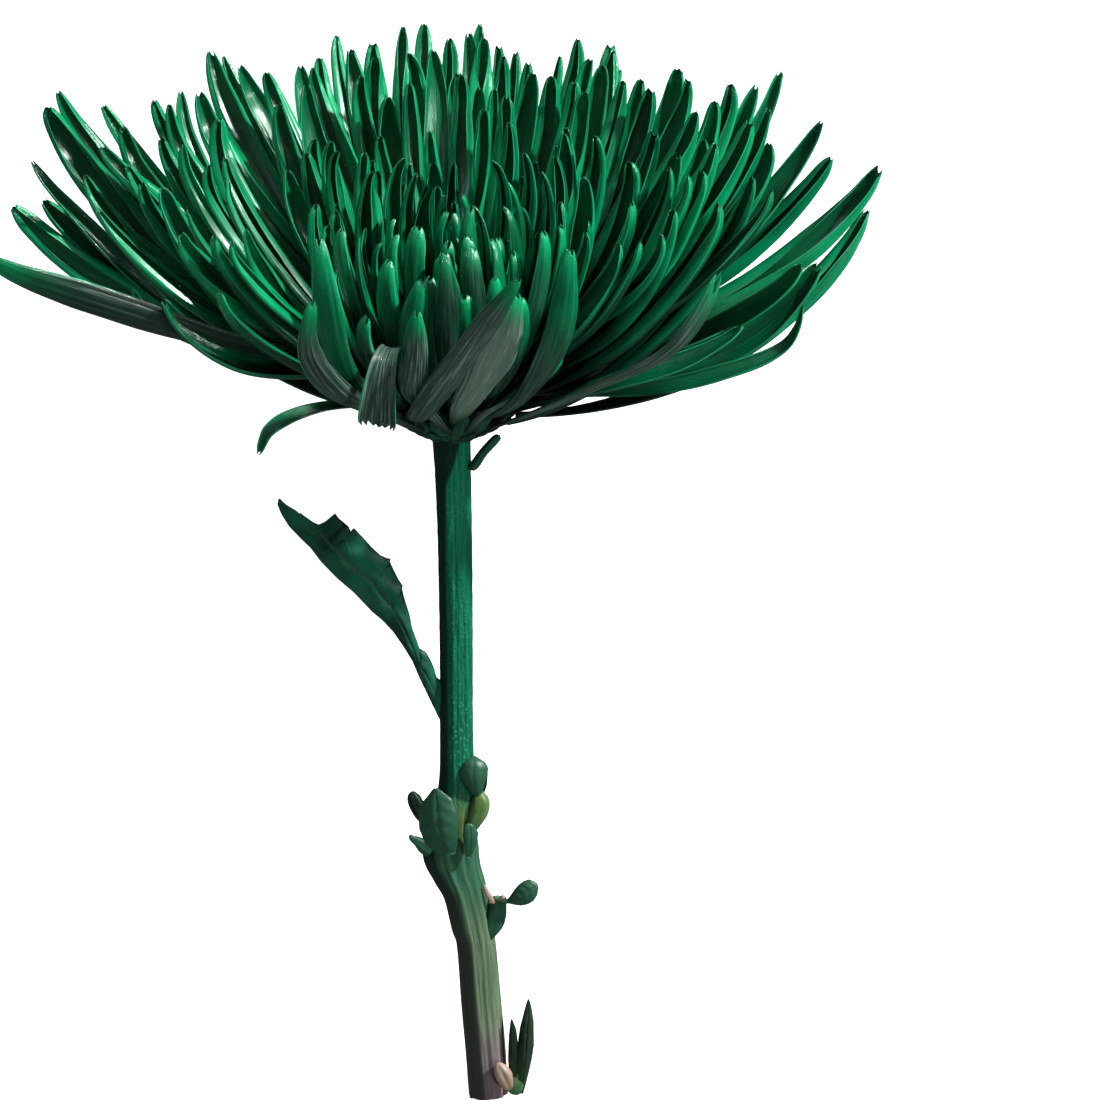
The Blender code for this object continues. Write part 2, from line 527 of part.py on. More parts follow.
def tree_of(obj):
    """An object's triangles for finding where it meets another, and their middles."""
    bpy.context.view_layer.update()
    bm = bmesh.new()
    bm.from_object(obj, bpy.context.evaluated_depsgraph_get())
    bm.transform(obj.matrix_world)
    bmesh.ops.triangulate(bm, faces=bm.faces)
    middles = [f.calc_center_median() for f in bm.faces]
    tree = BVHTree.FromBMesh(bm)
    bm.free()
    return tree, middles


def loft(bm, rings):
    """Closed tube through rings of equal corner counts."""
    k = len(rings[0])
    bmesh.ops.create_cone(bm, cap_ends=True, segments=k, radius1=0.001, radius2=0.001, depth=0.001)
    low = [v for v in bm.verts if v.co.z < 0]
    high = [v for v in bm.verts if v.co.z > 0]
    for group, ring in ((low, rings[0]), (high, rings[1])):
        group.sort(key=lambda v: math.atan2(v.co.y, v.co.x) % (2 * math.pi))
        for v, p in zip(group, ring):
            v.co = Vector(p)
    face = next(f for f in bm.faces if len(f.verts) == k and all(v in high for v in f.verts))
    for ring in rings[2:]:
        face = push_out(bm, face, ring)


def pod_rings(path, sides, grow=0.0, ribs=0, rib=0.0):
    """Rings along a path of (x, y, depth, half-width, half-depth) in grid units."""
    p = np.array(path, float)
    c = place(*drawn(p[:, 0], p[:, 1], p[:, 2]))
    t = np.gradient(c, axis=0)
    t /= np.linalg.norm(t, axis=1, keepdims=True)
    rings = []
    for k in range(len(p)):
        across = np.cross(FRONT, t[k])
        across /= np.linalg.norm(across)
        deep = np.cross(t[k], across)
        ring = []
        for a in 2 * math.pi * np.arange(sides) / sides:
            r = 1 + rib * math.cos(ribs * a)
            ring.append(metres(c[k] + across * ((p[k, 3] + grow) * UNIT * r * math.cos(a)) + deep * ((p[k, 4] + grow) * UNIT * r * math.sin(a))))
        rings.append(ring)
    return rings


def pod(name, path, sides, colour, roughness=0.5, **how):
    bm = bmesh.new()
    loft(bm, pod_rings(path, sides, **how))
    return finish(bm, name, colour, roughness)


def blade(name, rows, across, thick, colour, roughness=0.45):
    """Thin leaf: rows of (left x, y, depth, right x, y, depth, lift of the middle) in grid units."""
    bm = bmesh.new()
    n = len(rows)
    bmesh.ops.create_grid(bm, x_segments=across, y_segments=n - 1, size=1.0)
    for v in bm.verts:
        share = (v.co.x + 1) / 2
        xl, yl, dl, xr, yr, dr, lift = rows[int(round((v.co.y + 1) / 2 * (n - 1)))]
        x, y = xl + (xr - xl) * share, yl + (yr - yl) * share
        d = dl + (dr - dl) * share + lift * (1 - (2 * share - 1) ** 2)
        v.co = Vector(metres(place(*drawn(x, y, d))))
    obj = finish(bm, name, colour, roughness)
    shell = obj.modifiers.new("thickness", "SOLIDIFY")
    shell.thickness = thick * 0.001
    shell.offset = 0.0
    shell.use_rim = True
    return obj


def clear_of(obj, cutter):
    cut = obj.modifiers.new("clearance", "BOOLEAN")
    cut.operation = "DIFFERENCE"
    cut.solver = "EXACT"
    cut.object = cutter


def turned(name, outline, steps, colour, roughness):
    """Outline of (radius, height) in grid units, turned about the flower's axis."""
    mesh = bpy.data.meshes.new(name)
    verts = [(r * UNIT * 0.001, 0, h * UNIT * 0.001) for r, h in outline]
    mesh.from_pydata(verts, [(k, k + 1) for k in range(len(verts) - 1)], [])
    obj = bpy.data.objects.new(name, mesh)
    obj.data.materials.append(paint(name + "_finish", colour, roughness))
    FLOWER.objects.link(obj)
    obj.location = metres(place(0, 0, 0))
    obj.rotation_euler = (-(math.pi / 2 - TILT), 0, 0)
    turn = obj.modifiers.new("turn", "SCREW")
    turn.axis = "Z"
    turn.angle = 2 * math.pi
    turn.steps = turn.render_steps = steps
    turn.use_merge_vertices = True
    turn.merge_threshold = 0.00001
    return obj


STEM = [  # x, y, depth, half-width, half-depth
    (451, 425, 0, 19, 19), (451, 440, 0, 19, 19), (452, 467, 0, 18, 18), (454, 541, 0, 17, 17), (455.5, 640, 0, 16.5, 17),
    (456, 720, 0, 16.5, 17), (456.5, 775, 0, 17.5, 18), (455, 805, 0, 21, 20), (451, 832, 0, 26, 22), (450, 852, 0, 28, 23),
    (456, 872, 0, 24, 22), (464, 892, 0, 21.5, 21), (471, 925, 0, 21, 20), (475, 945, 0, 19.5, 19.5), (480, 1006, 0, 20, 19.5),
    (484.5, 1055, 0, 20, 19.5), (487.5, 1098, 0, 19.5, 19.33),
]
LEAF = [  # left edge, right edge and the lift of the middle, from the stem to the tip
    (434, 722, 6, 438, 680, 6, 2), (426, 700, 10, 432, 664, 10, 3), (418, 677, 14, 421, 648, 15, 4), (408, 655, 18, 411, 621, 20, 5),
    (398, 641, 21, 401, 588, 24, 5), (386, 626, 24, 389, 560, 26, 5), (366, 608, 26, 371, 541, 28, 5), (345, 587, 26, 352, 530, 28, 5),
    (336, 575, 25, 342, 523, 27, 4), (327, 565, 23, 333, 514, 25, 4), (315, 552, 20, 321, 525, 22, 3), (300, 538, 15, 308, 516, 17, 3),
    (287, 524, 9, 296, 508, 10, 2), (278, 506, 2, 282, 500, 2, 0),
]


def build():
    florets, x, half, roll, flat, pin = grow()
    x = settle(x, half, flat, roll, pin)
    thick = half * flat[:, None]
    _, lat, n = frames(x, roll)
    dye, dark, under = (0.005, 0.17, 0.075), (0.004, 0.085, 0.04), (0.05, 0.09, 0.07)
    half, thick = slim(x, half * 0.94, thick * 0.94, roll)

    pod("stem", STEM, 14, (0.02, 0.14, 0.07), 0.45, ribs=7, rib=0.035)
    cutter_bm = bmesh.new()
    loft(cutter_bm, pod_rings(STEM, 14, grow=2.4, ribs=7, rib=0.02))
    bmesh.ops.recalc_face_normals(cutter_bm, faces=cutter_bm.faces)
    cutter_mesh = bpy.data.meshes.new("stem_clearance")
    cutter_bm.to_mesh(cutter_mesh)
    cutter_bm.free()
    cutter = bpy.data.objects.new("stem_clearance", cutter_mesh)
    cutter.hide_render = True
    cutter.display_type = "WIRE"
    GUIDES.objects.link(cutter)

    dome = [((DOME_R - 8.7) * math.sin(math.radians(a)), DOME_H0 + (DOME_H - 8.7) * math.cos(math.radians(a))) for a in range(0, 81, 16)]
    turned("receptacle", dome + [(59.0, 33.3), (61.5, 31), (61.5, 20), (55, 17), (42, 12.5), (30, 9), (21, 7.5), (0, 7.5)], 18, (0.05, 0.12, 0.05), 0.7)

    bm = bmesh.new()
    cup = [(23.5, 5.0), (32, 7.0), (42, 10.0), (48, 12.2), (52, 13.6), (52, 10.2), (46, 6.6), (38, 2.6), (30, -1.6), (23.5, -3.6)]
    verts = [bm.verts.new(metres(place(0, 0, 0)) + metres(UNIT * (r * SIDE + h * AXIS))) for r, h in cup]
    ring = [bm.edges.new((verts[k], verts[(k + 1) % len(verts)])) for k in range(len(verts))]
    bmesh.ops.spin(bm, geom=verts + ring, cent=metres(place(0, 0, 0)), axis=AXIS, angle=2 * math.pi, steps=28, use_merge=True)
    bmesh.ops.remove_doubles(bm, verts=bm.verts, dist=0.000005)
    hub = metres(place(0, 0, 0))
    for v in bm.verts:
        rel = np.array(v.co) - hub
        r = math.hypot(rel @ SIDE, rel @ FRONT)
        if r > 0.0069:
            phi = math.atan2(rel @ SIDE, rel @ FRONT)
            grow_by = 1 + 0.05 * math.cos(14 * phi)
            v.co = Vector(hub + (rel - AXIS * (rel @ AXIS)) * grow_by + AXIS * (rel @ AXIS))
    finish(bm, "involucre", (0.02, 0.09, 0.045), 0.6)

    # the florets are built, and where two pieces still meet, both are made narrower there
    fixed = {name: tree_of(bpy.data.objects[name]) for name in ("involucre", "receptacle")}
    for _ in range(9):
        made = {}
        tufts, number = {}, 0
        for i, f in enumerate(florets):
            if f["ray"]:
                number += 1
                colour = under if pin[i] == 2 else (dye if number % 2 else dark)
                obj = strap(f"ray_floret_{number:02d}", x[i], half[i], thick[i], lat[i], n[i], BENT_STATIONS if f.get("course", [""])[0] == "reflexed" else RAY_STATIONS, 6, colour)
                made[obj.name] = (obj, [i])
            else:
                tufts.setdefault((f["group"], f["ring"]), []).append(i)
        for (group, ring_name), members in tufts.items():
            label = "disc_florets" if ring_name == "disc" else f"{ring_name}_florets_{group[-1]}"
            obj = tuft(label, ring_name, [(florets[i], x[i], half[i], thick[i], lat[i], n[i]) for i in members], TUFT_STATIONS, dye)
            made[obj.name] = (obj, members)
        trees = {name: tree_of(obj) for name, (obj, _) in made.items()}
        met = [(a, b) for k, a in enumerate(trees) for b in list(trees)[k + 1 :] + list(fixed) if trees[a][0].overlap((trees.get(b) or fixed[b])[0])]
        if not met:
            break
        for a, b in met:
            first, second = trees[a], trees.get(b) or fixed[b]
            touching = first[0].overlap(second[0])
            spots = {tuple(first[1][p]) for p, _ in touching} | {tuple(second[1][p]) for _, p in touching}
            for name in (a, b):
                if name not in made:
                    continue
                members = made[name][1]
                share = np.ones((len(members), NODES))
                for spot in spots:
                    away = np.linalg.norm(x[members] - np.array(spot) * 1000, axis=2)
                    k, m = np.unravel_index(np.argmin(away), away.shape)
                    near = np.abs(np.arange(NODES) - m)
                    share[k] = np.minimum(share[k], 1 - 0.16 * np.exp(-((near / 2.2) ** 2)))
                for k, i in enumerate(members):
                    half[i] *= share[k]
                    thick[i] *= share[k]
        for obj, _ in made.values():
            mesh = obj.data
            bpy.data.objects.remove(obj)
            bpy.data.meshes.remove(mesh)

    green = (0.01, 0.10, 0.05)
    leaf = blade("leaf", LEAF, 4, 0.5, (0.004, 0.05, 0.025))
    clear_of(leaf, cutter)
    pod("side_stalk", [(476, 463, 8, 5, 5), (483, 453, 9, 4.5, 4.5), (492, 443, 10, 4.5, 4.5), (500, 435, 10, 4.5, 4.5)], 8, green)
    bud = pod("side_bud", [(468, 832, 14, 6, 6), (476, 817, 13, 9, 8), (479, 804, 12, 9, 8), (478, 795, 11, 5, 5), (476, 786, 12, 11, 6), (474, 774, 12, 15, 7), (475, 763, 11, 11, 5), (476, 759.5, 11, 5, 3)], 10, (0.05, 0.16, 0.08))
    clear_of(bud, cutter)
    big = blade("node_bract_large", [(437, 856, 27, 455, 854, 27, 3), (425, 845, 25, 457, 842, 29, 7), (419, 830, 23, 458, 828, 31, 9), (418, 815, 22, 457, 813, 32, 9), (424, 801, 23, 452, 800, 31, 6), (431, 791, 25, 440, 791, 28, 2)], 4, 0.6, (0.03, 0.12, 0.07))
    clear_of(big, cutter)
    lobe = pod("node_bract_dark", [(424, 822, 4, 5, 4), (418, 812, 6, 7, 5), (414, 802, 7, 7, 5), (414, 794, 8, 4, 3)], 8, (0.005, 0.03, 0.02))
    clear_of(lobe, cutter)
    hook = pod("node_bract_hooked", [(430, 852, 14, 9, 6), (421, 846, 14, 7, 5), (414, 841, 14, 4, 3.5), (410, 838, 14, 2.5, 2.5)], 8, (0.04, 0.10, 0.05))
    clear_of(hook, cutter)
    small = blade("node_bract_small", [(466, 858, 27, 470, 859, 26, 0), (464, 848, 28, 476, 846, 24, 2), (462.5, 836, 29, 478, 834, 24, 3), (463, 828, 29, 472, 826, 26, 1)], 3, 0.5, (0.06, 0.20, 0.13))
    clear_of(small, cutter)
    axil = pod("axil_cup", [(488, 934, 6, 8, 8), (494, 926, 6, 10, 9), (497, 915, 6, 9.5, 9), (498, 905, 6, 8, 7), (499, 898, 6, 5, 4)], 10, (0.03, 0.16, 0.08))
    clear_of(axil, cutter)
    pod("spoon_leaflet", [(505.5, 904, 16, 2.5, 2.5), (511, 902, 16, 3, 2.5), (517, 898, 16, 8, 3), (524, 895, 17, 12, 3.5), (532, 891, 17, 11, 3), (538, 888, 17, 5, 2.5)], 8, (0.03, 0.13, 0.09))
    lobed = blade("lobed_leaflet", [(512, 1097, 10, 522, 1097, 10, 1), (511, 1080, 12, 527, 1079, 12, 3), (510, 1060, 13, 533, 1060, 13, 4), (511, 1042, 13, 535, 1044, 13, 4), (519, 1036, 13, 535, 1034, 12, 3), (525, 1018, 12, 532, 1018, 12, 1), (528, 1005, 11, 530, 1005, 11, 0)], 4, 0.6, (0.01, 0.05, 0.03))
    clear_of(lobed, cutter)
    pale = pod("pale_bud", [(509, 1094, 20, 4, 4), (506, 1086, 22, 7, 6), (502, 1078, 23, 8, 7), (498, 1071, 23, 4, 4)], 8, (0.55, 0.38, 0.32))
    clear_of(pale, cutter)


RAY_STATIONS = (0.0, 0.1, 0.27, 0.45, 0.63, 0.8, 0.93, 1.0)
BENT_STATIONS = (0.0, 0.1, 0.22, 0.34, 0.42, 0.48, 0.53, 0.58, 0.64, 0.72, 0.86, 1.0)
TUFT_STATIONS = (0.1, 0.4, 0.74, 1.0)

for old in list(bpy.data.objects):
    bpy.data.objects.remove(old)
FLOWER = bpy.data.collections.new("spider_chrysanthemum")
GUIDES = bpy.data.collections.new("guides")
bpy.context.scene.collection.children.link(FLOWER)
bpy.context.scene.collection.children.link(GUIDES)
build()

# the origin goes under the middle of the whole flower, on the surface it lies on
bpy.context.view_layer.update()
shown = [o.evaluated_get(bpy.context.evaluated_depsgraph_get()) for o in FLOWER.objects]
corners = np.concatenate([np.array([o.matrix_world @ v.co for v in o.data.vertices]) for o in shown])
low, high = corners.min(0), corners.max(0)
for obj in [*FLOWER.objects, *GUIDES.objects]:
    obj.location -= Vector(((low[0] + high[0]) / 2, (low[1] + high[1]) / 2, low[2]))
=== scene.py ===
"""A cut spider chrysanthemum, lying on a pale floor and seen from straight above.
The florets grow from the same plan as the solids they stand for. Lengths are in mm or in units of
the drawing grid until the meshes are made, which are in metres."""

import math

import bpy
import numpy as np
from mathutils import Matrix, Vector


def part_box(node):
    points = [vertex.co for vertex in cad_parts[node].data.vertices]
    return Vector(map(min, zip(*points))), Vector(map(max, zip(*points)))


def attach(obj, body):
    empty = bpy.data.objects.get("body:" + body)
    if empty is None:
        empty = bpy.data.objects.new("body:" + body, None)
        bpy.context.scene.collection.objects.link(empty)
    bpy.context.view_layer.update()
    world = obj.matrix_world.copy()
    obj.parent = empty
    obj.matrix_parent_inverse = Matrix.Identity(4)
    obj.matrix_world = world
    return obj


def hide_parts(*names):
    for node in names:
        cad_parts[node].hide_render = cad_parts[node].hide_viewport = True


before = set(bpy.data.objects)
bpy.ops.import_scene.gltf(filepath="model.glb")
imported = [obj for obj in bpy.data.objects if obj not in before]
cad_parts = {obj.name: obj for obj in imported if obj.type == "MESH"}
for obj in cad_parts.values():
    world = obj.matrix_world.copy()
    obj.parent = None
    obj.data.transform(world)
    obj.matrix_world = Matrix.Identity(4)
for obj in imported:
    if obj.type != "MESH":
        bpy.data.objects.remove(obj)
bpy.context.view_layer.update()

# ---------------------------------------------------------------- layout
UNIT = 0.15  # mm for one unit of the drawing grid: x to the right, y downwards
TIP_X, TIP_Y = 452.0, 428.0  # top of the stem on the grid
CUT_Y = 1098.0  # cut end of the stem on the grid
TILT = math.radians(20.0)  # how steeply the stem rises from its cut end to the head
CUT_R = 2.9  # mm, radius at the cut end, which rests on the surface
BASE_Z = CUT_R * math.cos(TILT) + (CUT_Y - TIP_Y) * UNIT * math.tan(TILT)  # mm, height of the stem's top
NODES = 18  # points along a floret's middle line
DOME_R, DOME_H, DOME_H0 = 64.0, 36.0, 30.0  # receptacle's dome, in grid units
AXIS = np.array([0.0, math.cos(TILT), math.sin(TILT)])
FRONT = np.array([0.0, -math.sin(TILT), math.cos(TILT)])
SIDE = np.array([1.0, 0.0, 0.0])

# Rings of florets on the dome: name, polar angles, rows, columns, sectors that stay one piece
RINGS = [("disc", 6, 22, 2, 7, 1), ("inner", 26, 49, 3, 12, 3), ("middle", 52, 79, 4, 36, 6)]
RAYS = [(88, 19), (106, 17)]  # polar angle and number of the long outer florets

# Height of the surface that the tips make, by distance from the axis
CROWN = [(0, 262), (40, 266), (80, 270), (150, 276), (250, 286), (330, 281), (380, 266), (420, 242), (460, 205), (500, 170)]

# Tips of the florets that show best, on the drawing grid
TIPS = [
    (12, 206), (43, 200), (31, 161), (46, 108), (57, 91), (60, 132), (85, 175), (99, 210),
    (101, 147), (101, 104), (122, 127), (128, 166), (152, 98), (168, 103), (178, 87), (198, 91),
    (161, 138), (184, 145), (209, 166), (226, 158), (230, 180), (143, 184), (163, 188), (189, 211),
    (184, 237), (217, 237), (234, 243), (247, 231), (219, 117), (222, 292), (135, 291), (165, 301),
    (208, 48), (221, 53), (238, 63), (264, 70), (278, 103), (306, 84), (312, 65), (335, 31), (361, 74),
    (375, 55), (402, 22), (423, 19), (432, 47), (409, 82), (461, 74), (484, 35), (503, 53), (528, 60),
    (551, 75), (560, 54), (574, 80), (590, 57), (603, 63), (623, 80), (641, 78), (651, 88), (679, 67),
    (688, 78), (696, 111), (715, 101), (731, 84), (757, 84), (782, 69), (769, 109), (750, 122),
    (769, 144), (822, 121), (832, 157), (880, 167), (868, 209), (838, 251), (819, 264),
    (331, 142), (338, 151), (372, 172), (405, 159), (417, 173), (454, 163), (484, 109), (491, 161),
    (507, 182), (509, 122), (524, 153), (541, 172), (564, 134), (595, 136), (583, 178), (629, 163),
    (654, 132), (669, 168), (677, 155), (687, 176), (704, 140), (715, 144), (702, 172), (752, 178),
    (771, 191), (717, 205), (673, 210), (631, 203), (560, 203), (559, 226), (503, 208), (618, 245),
    (585, 233), (639, 243), (660, 237), (801, 266), (317, 205), (330, 226), (344, 230),
    (361, 237), (391, 261), (419, 227), (472, 248), (445, 271), (432, 278), (369, 318),
    (424, 280), (495, 278), (490, 240), (543, 232), (588, 222), (444, 253),
]

# Florets with a course of their own: points (x, y, depth) from root to tip, widest half-width
# in grid units, and how far the strap is rolled about its middle line, in degrees
COURSES = {
    "front_diagonal": ([(418, 416, 70), (428, 403, 112), (456, 366, 166), (487, 324, 210), (519, 281, 236)], 15, 8),
    "far_left": ([(396, 414, 24), (300, 357, 62), (205, 333, 80), (110, 302, 88), (20, 272, 92), (-14, 258, 92)], 17, -72),
    "front_left": ([(412, 418, 58), (362, 405, 135), (328, 382, 190), (309, 346, 228), (314, 303, 242)], 13, -50),
    "front_left_inner": ([(405, 414, 52), (364, 400, 118), (341, 366, 170), (329, 312, 203), (321, 241, 195)], 15, -20),
    "reflexed": ([(430, 414, 62), (408, 384, 112), (393, 346, 148), (383, 364, 180), (377, 430, 190)], 22, 0),
    "front_centre": ([(424, 420, 60), (413, 398, 96), (413, 360, 140), (418, 312, 150)], 14, 0),
    "front_right_broad": ([(446, 422, 60), (466, 402, 98), (490, 362, 140), (507, 322, 166), (515, 294, 174)], 21, 14),
    "under_right": ([(462, 425, 46), (498, 410, 82), (532, 388, 98), (562, 358, 100)], 14, -20),
    "front_right": ([(476, 420, 58), (526, 392, 110), (560, 334, 160), (570, 251, 168)], 14, 40),
    "drooping": ([(404, 420, 42), (347, 404, 85), (304, 411, 110), (270, 430, 122), (259, 455, 126)], 9, 20),
    "low_right": ([(508, 419, 26), (584, 393, 52), (641, 389, 62), (713, 374, 70), (781, 345, 68), (802, 305, 60)], 11, -35),
    "bifid_right": ([(490, 417, 50), (598, 384, 115), (676, 343, 150), (717, 275, 155)], 15, 15),
    "low_right_broad": ([(500, 418, 40), (600, 386, 85), (682, 360, 100), (742, 326, 98)], 15, -30),
}


def place(u, d, h):
    """Grid offsets from the stem's top (right, to the front, along the axis) to mm."""
    u, d, h = (np.asarray(v, float)[..., None] for v in (u, d, h))
    origin = np.array([(TIP_X - 438.5) * UNIT, (558.5 - TIP_Y) * UNIT, BASE_Z])
    return origin + UNIT * (u * SIDE + d * FRONT + h * AXIS)


def drawn(x, y, d):
    """Grid x, y and a depth d to offsets (u, d, h)."""
    d = np.asarray(d, float)
    h = (TIP_Y - np.asarray(y, float) + d * math.sin(TILT)) / math.cos(TILT)
    return np.asarray(x, float) - TIP_X, d, h


def crown(u, d):
    r = np.hypot(u, d)
    fore = (0.5 + 0.5 * d / np.maximum(r, 1)) ** 3
    top = np.interp(r, [p[0] for p in CROWN], [p[1] for p in CROWN]) + 0.045 * u - 0.077 * d
    return top - 88 * fore * np.clip((r - 20) / 140, 0, 1)


def rim(phi):
    """Reach of the outermost tips. phi is 0 at the front and grows to the right."""
    return 440.0 - 275.0 * (0.5 + 0.5 * np.cos(phi)) ** 1.5


def hermite(a, b, ta, tb, n):
    s = np.linspace(0, 1, n)[:, None]
    return (2 * s**3 - 3 * s**2 + 1) * a + (s**3 - 2 * s**2 + s) * ta + (3 * s**2 - 2 * s**3) * b + (s**3 - s**2) * tb


def even(points, n):
    """The same line with its points at equal distances."""
    step = np.r_[0, np.cumsum(np.linalg.norm(np.diff(points, axis=0), axis=1))]
    want = np.linspace(0, step[-1], n)
    return np.stack([np.interp(want, step, points[:, k]) for k in range(points.shape[1])], 1)


def smooth_line(points, n):
    """Smooth line through a few points."""
    p = np.asarray(points, float)
    t = np.r_[0, np.cumsum(np.linalg.norm(np.diff(p, axis=0), axis=1))]
    m = np.zeros_like(p)
    m[1:-1] = (p[2:] - p[:-2]) / (t[2:] - t[:-2])[:, None]
    m[0] = (p[1] - p[0]) / (t[1] - t[0]) * 1.5 - m[1] * 0.5
    m[-1] = (p[-1] - p[-2]) / (t[-1] - t[-2]) * 1.5 - m[-2] * 0.5
    out = [hermite(p[k], p[k + 1], m[k] * (t[k + 1] - t[k]), m[k + 1] * (t[k + 1] - t[k]), 24)[:-1] for k in range(len(p) - 1)]
    return even(np.concatenate(out + [p[-1:]]), n)


def on_dome(polar, phi, lift=0.0):
    """Point of the dome, and the direction straight out of it, in offsets."""
    s, c = math.sin(polar), math.cos(polar)
    out = np.array([s / DOME_R * math.sin(phi), s / DOME_R * math.cos(phi), c / DOME_H])
    out /= np.linalg.norm(out)
    return np.array([DOME_R * s * math.sin(phi), DOME_R * s * math.cos(phi), DOME_H0 + DOME_H * c]) + lift * out, out


def width_share(s, ray):
    """Half-width along a floret as a share of its widest."""
    base = [0.38, 0.42, 0.64] if ray else [0.27, 0.31, 0.58]
    return np.interp(s, [0, 0.08, 0.25, 0.45, 0.62, 0.78, 0.90, 1.0], base + [0.94, 1.0, 0.96, 0.80, 0.42])


def plan():
    """Every floret's place on the dome, before it grows."""
    out, k = [], 0
    total = sum(r[3] * r[4] for r in RINGS) + sum(r[1] for r in RAYS)
    rng = np.random.default_rng(11)
    for name, low, high, rows, cols, sectors in RINGS:
        for row in range(rows):
            for col in range(cols):
                polar = math.radians(low + (high - low) * (row + 0.5) / rows)
                phi = 2 * math.pi * (col + 0.5 + 0.5 * row) / cols
                phi += 0.36 * math.sin(phi) * (name == "middle")
                rank = k + row * cols + rng.uniform(0.05, 0.95) * cols
                sector = col * sectors // cols
                out.append(dict(group=f"{name}_{sector + 1}", ring=name, row=row, col=col, polar=polar, phi=phi, q=math.sqrt(rank / total), ray=False))
        k += rows * cols
    for row, (angle, count) in enumerate(RAYS):
        for col in range(count):
            phi = 2 * math.pi * (col + 0.3 + 0.5 * row) / count + rng.normal(0, 0.02)
            rank = k + rng.uniform(0, 1) * count
            out.append(dict(group="", ring="ray", row=row, col=col, polar=math.radians(angle), phi=phi, q=math.sqrt(rank / total), ray=True))
        k += count
    return out


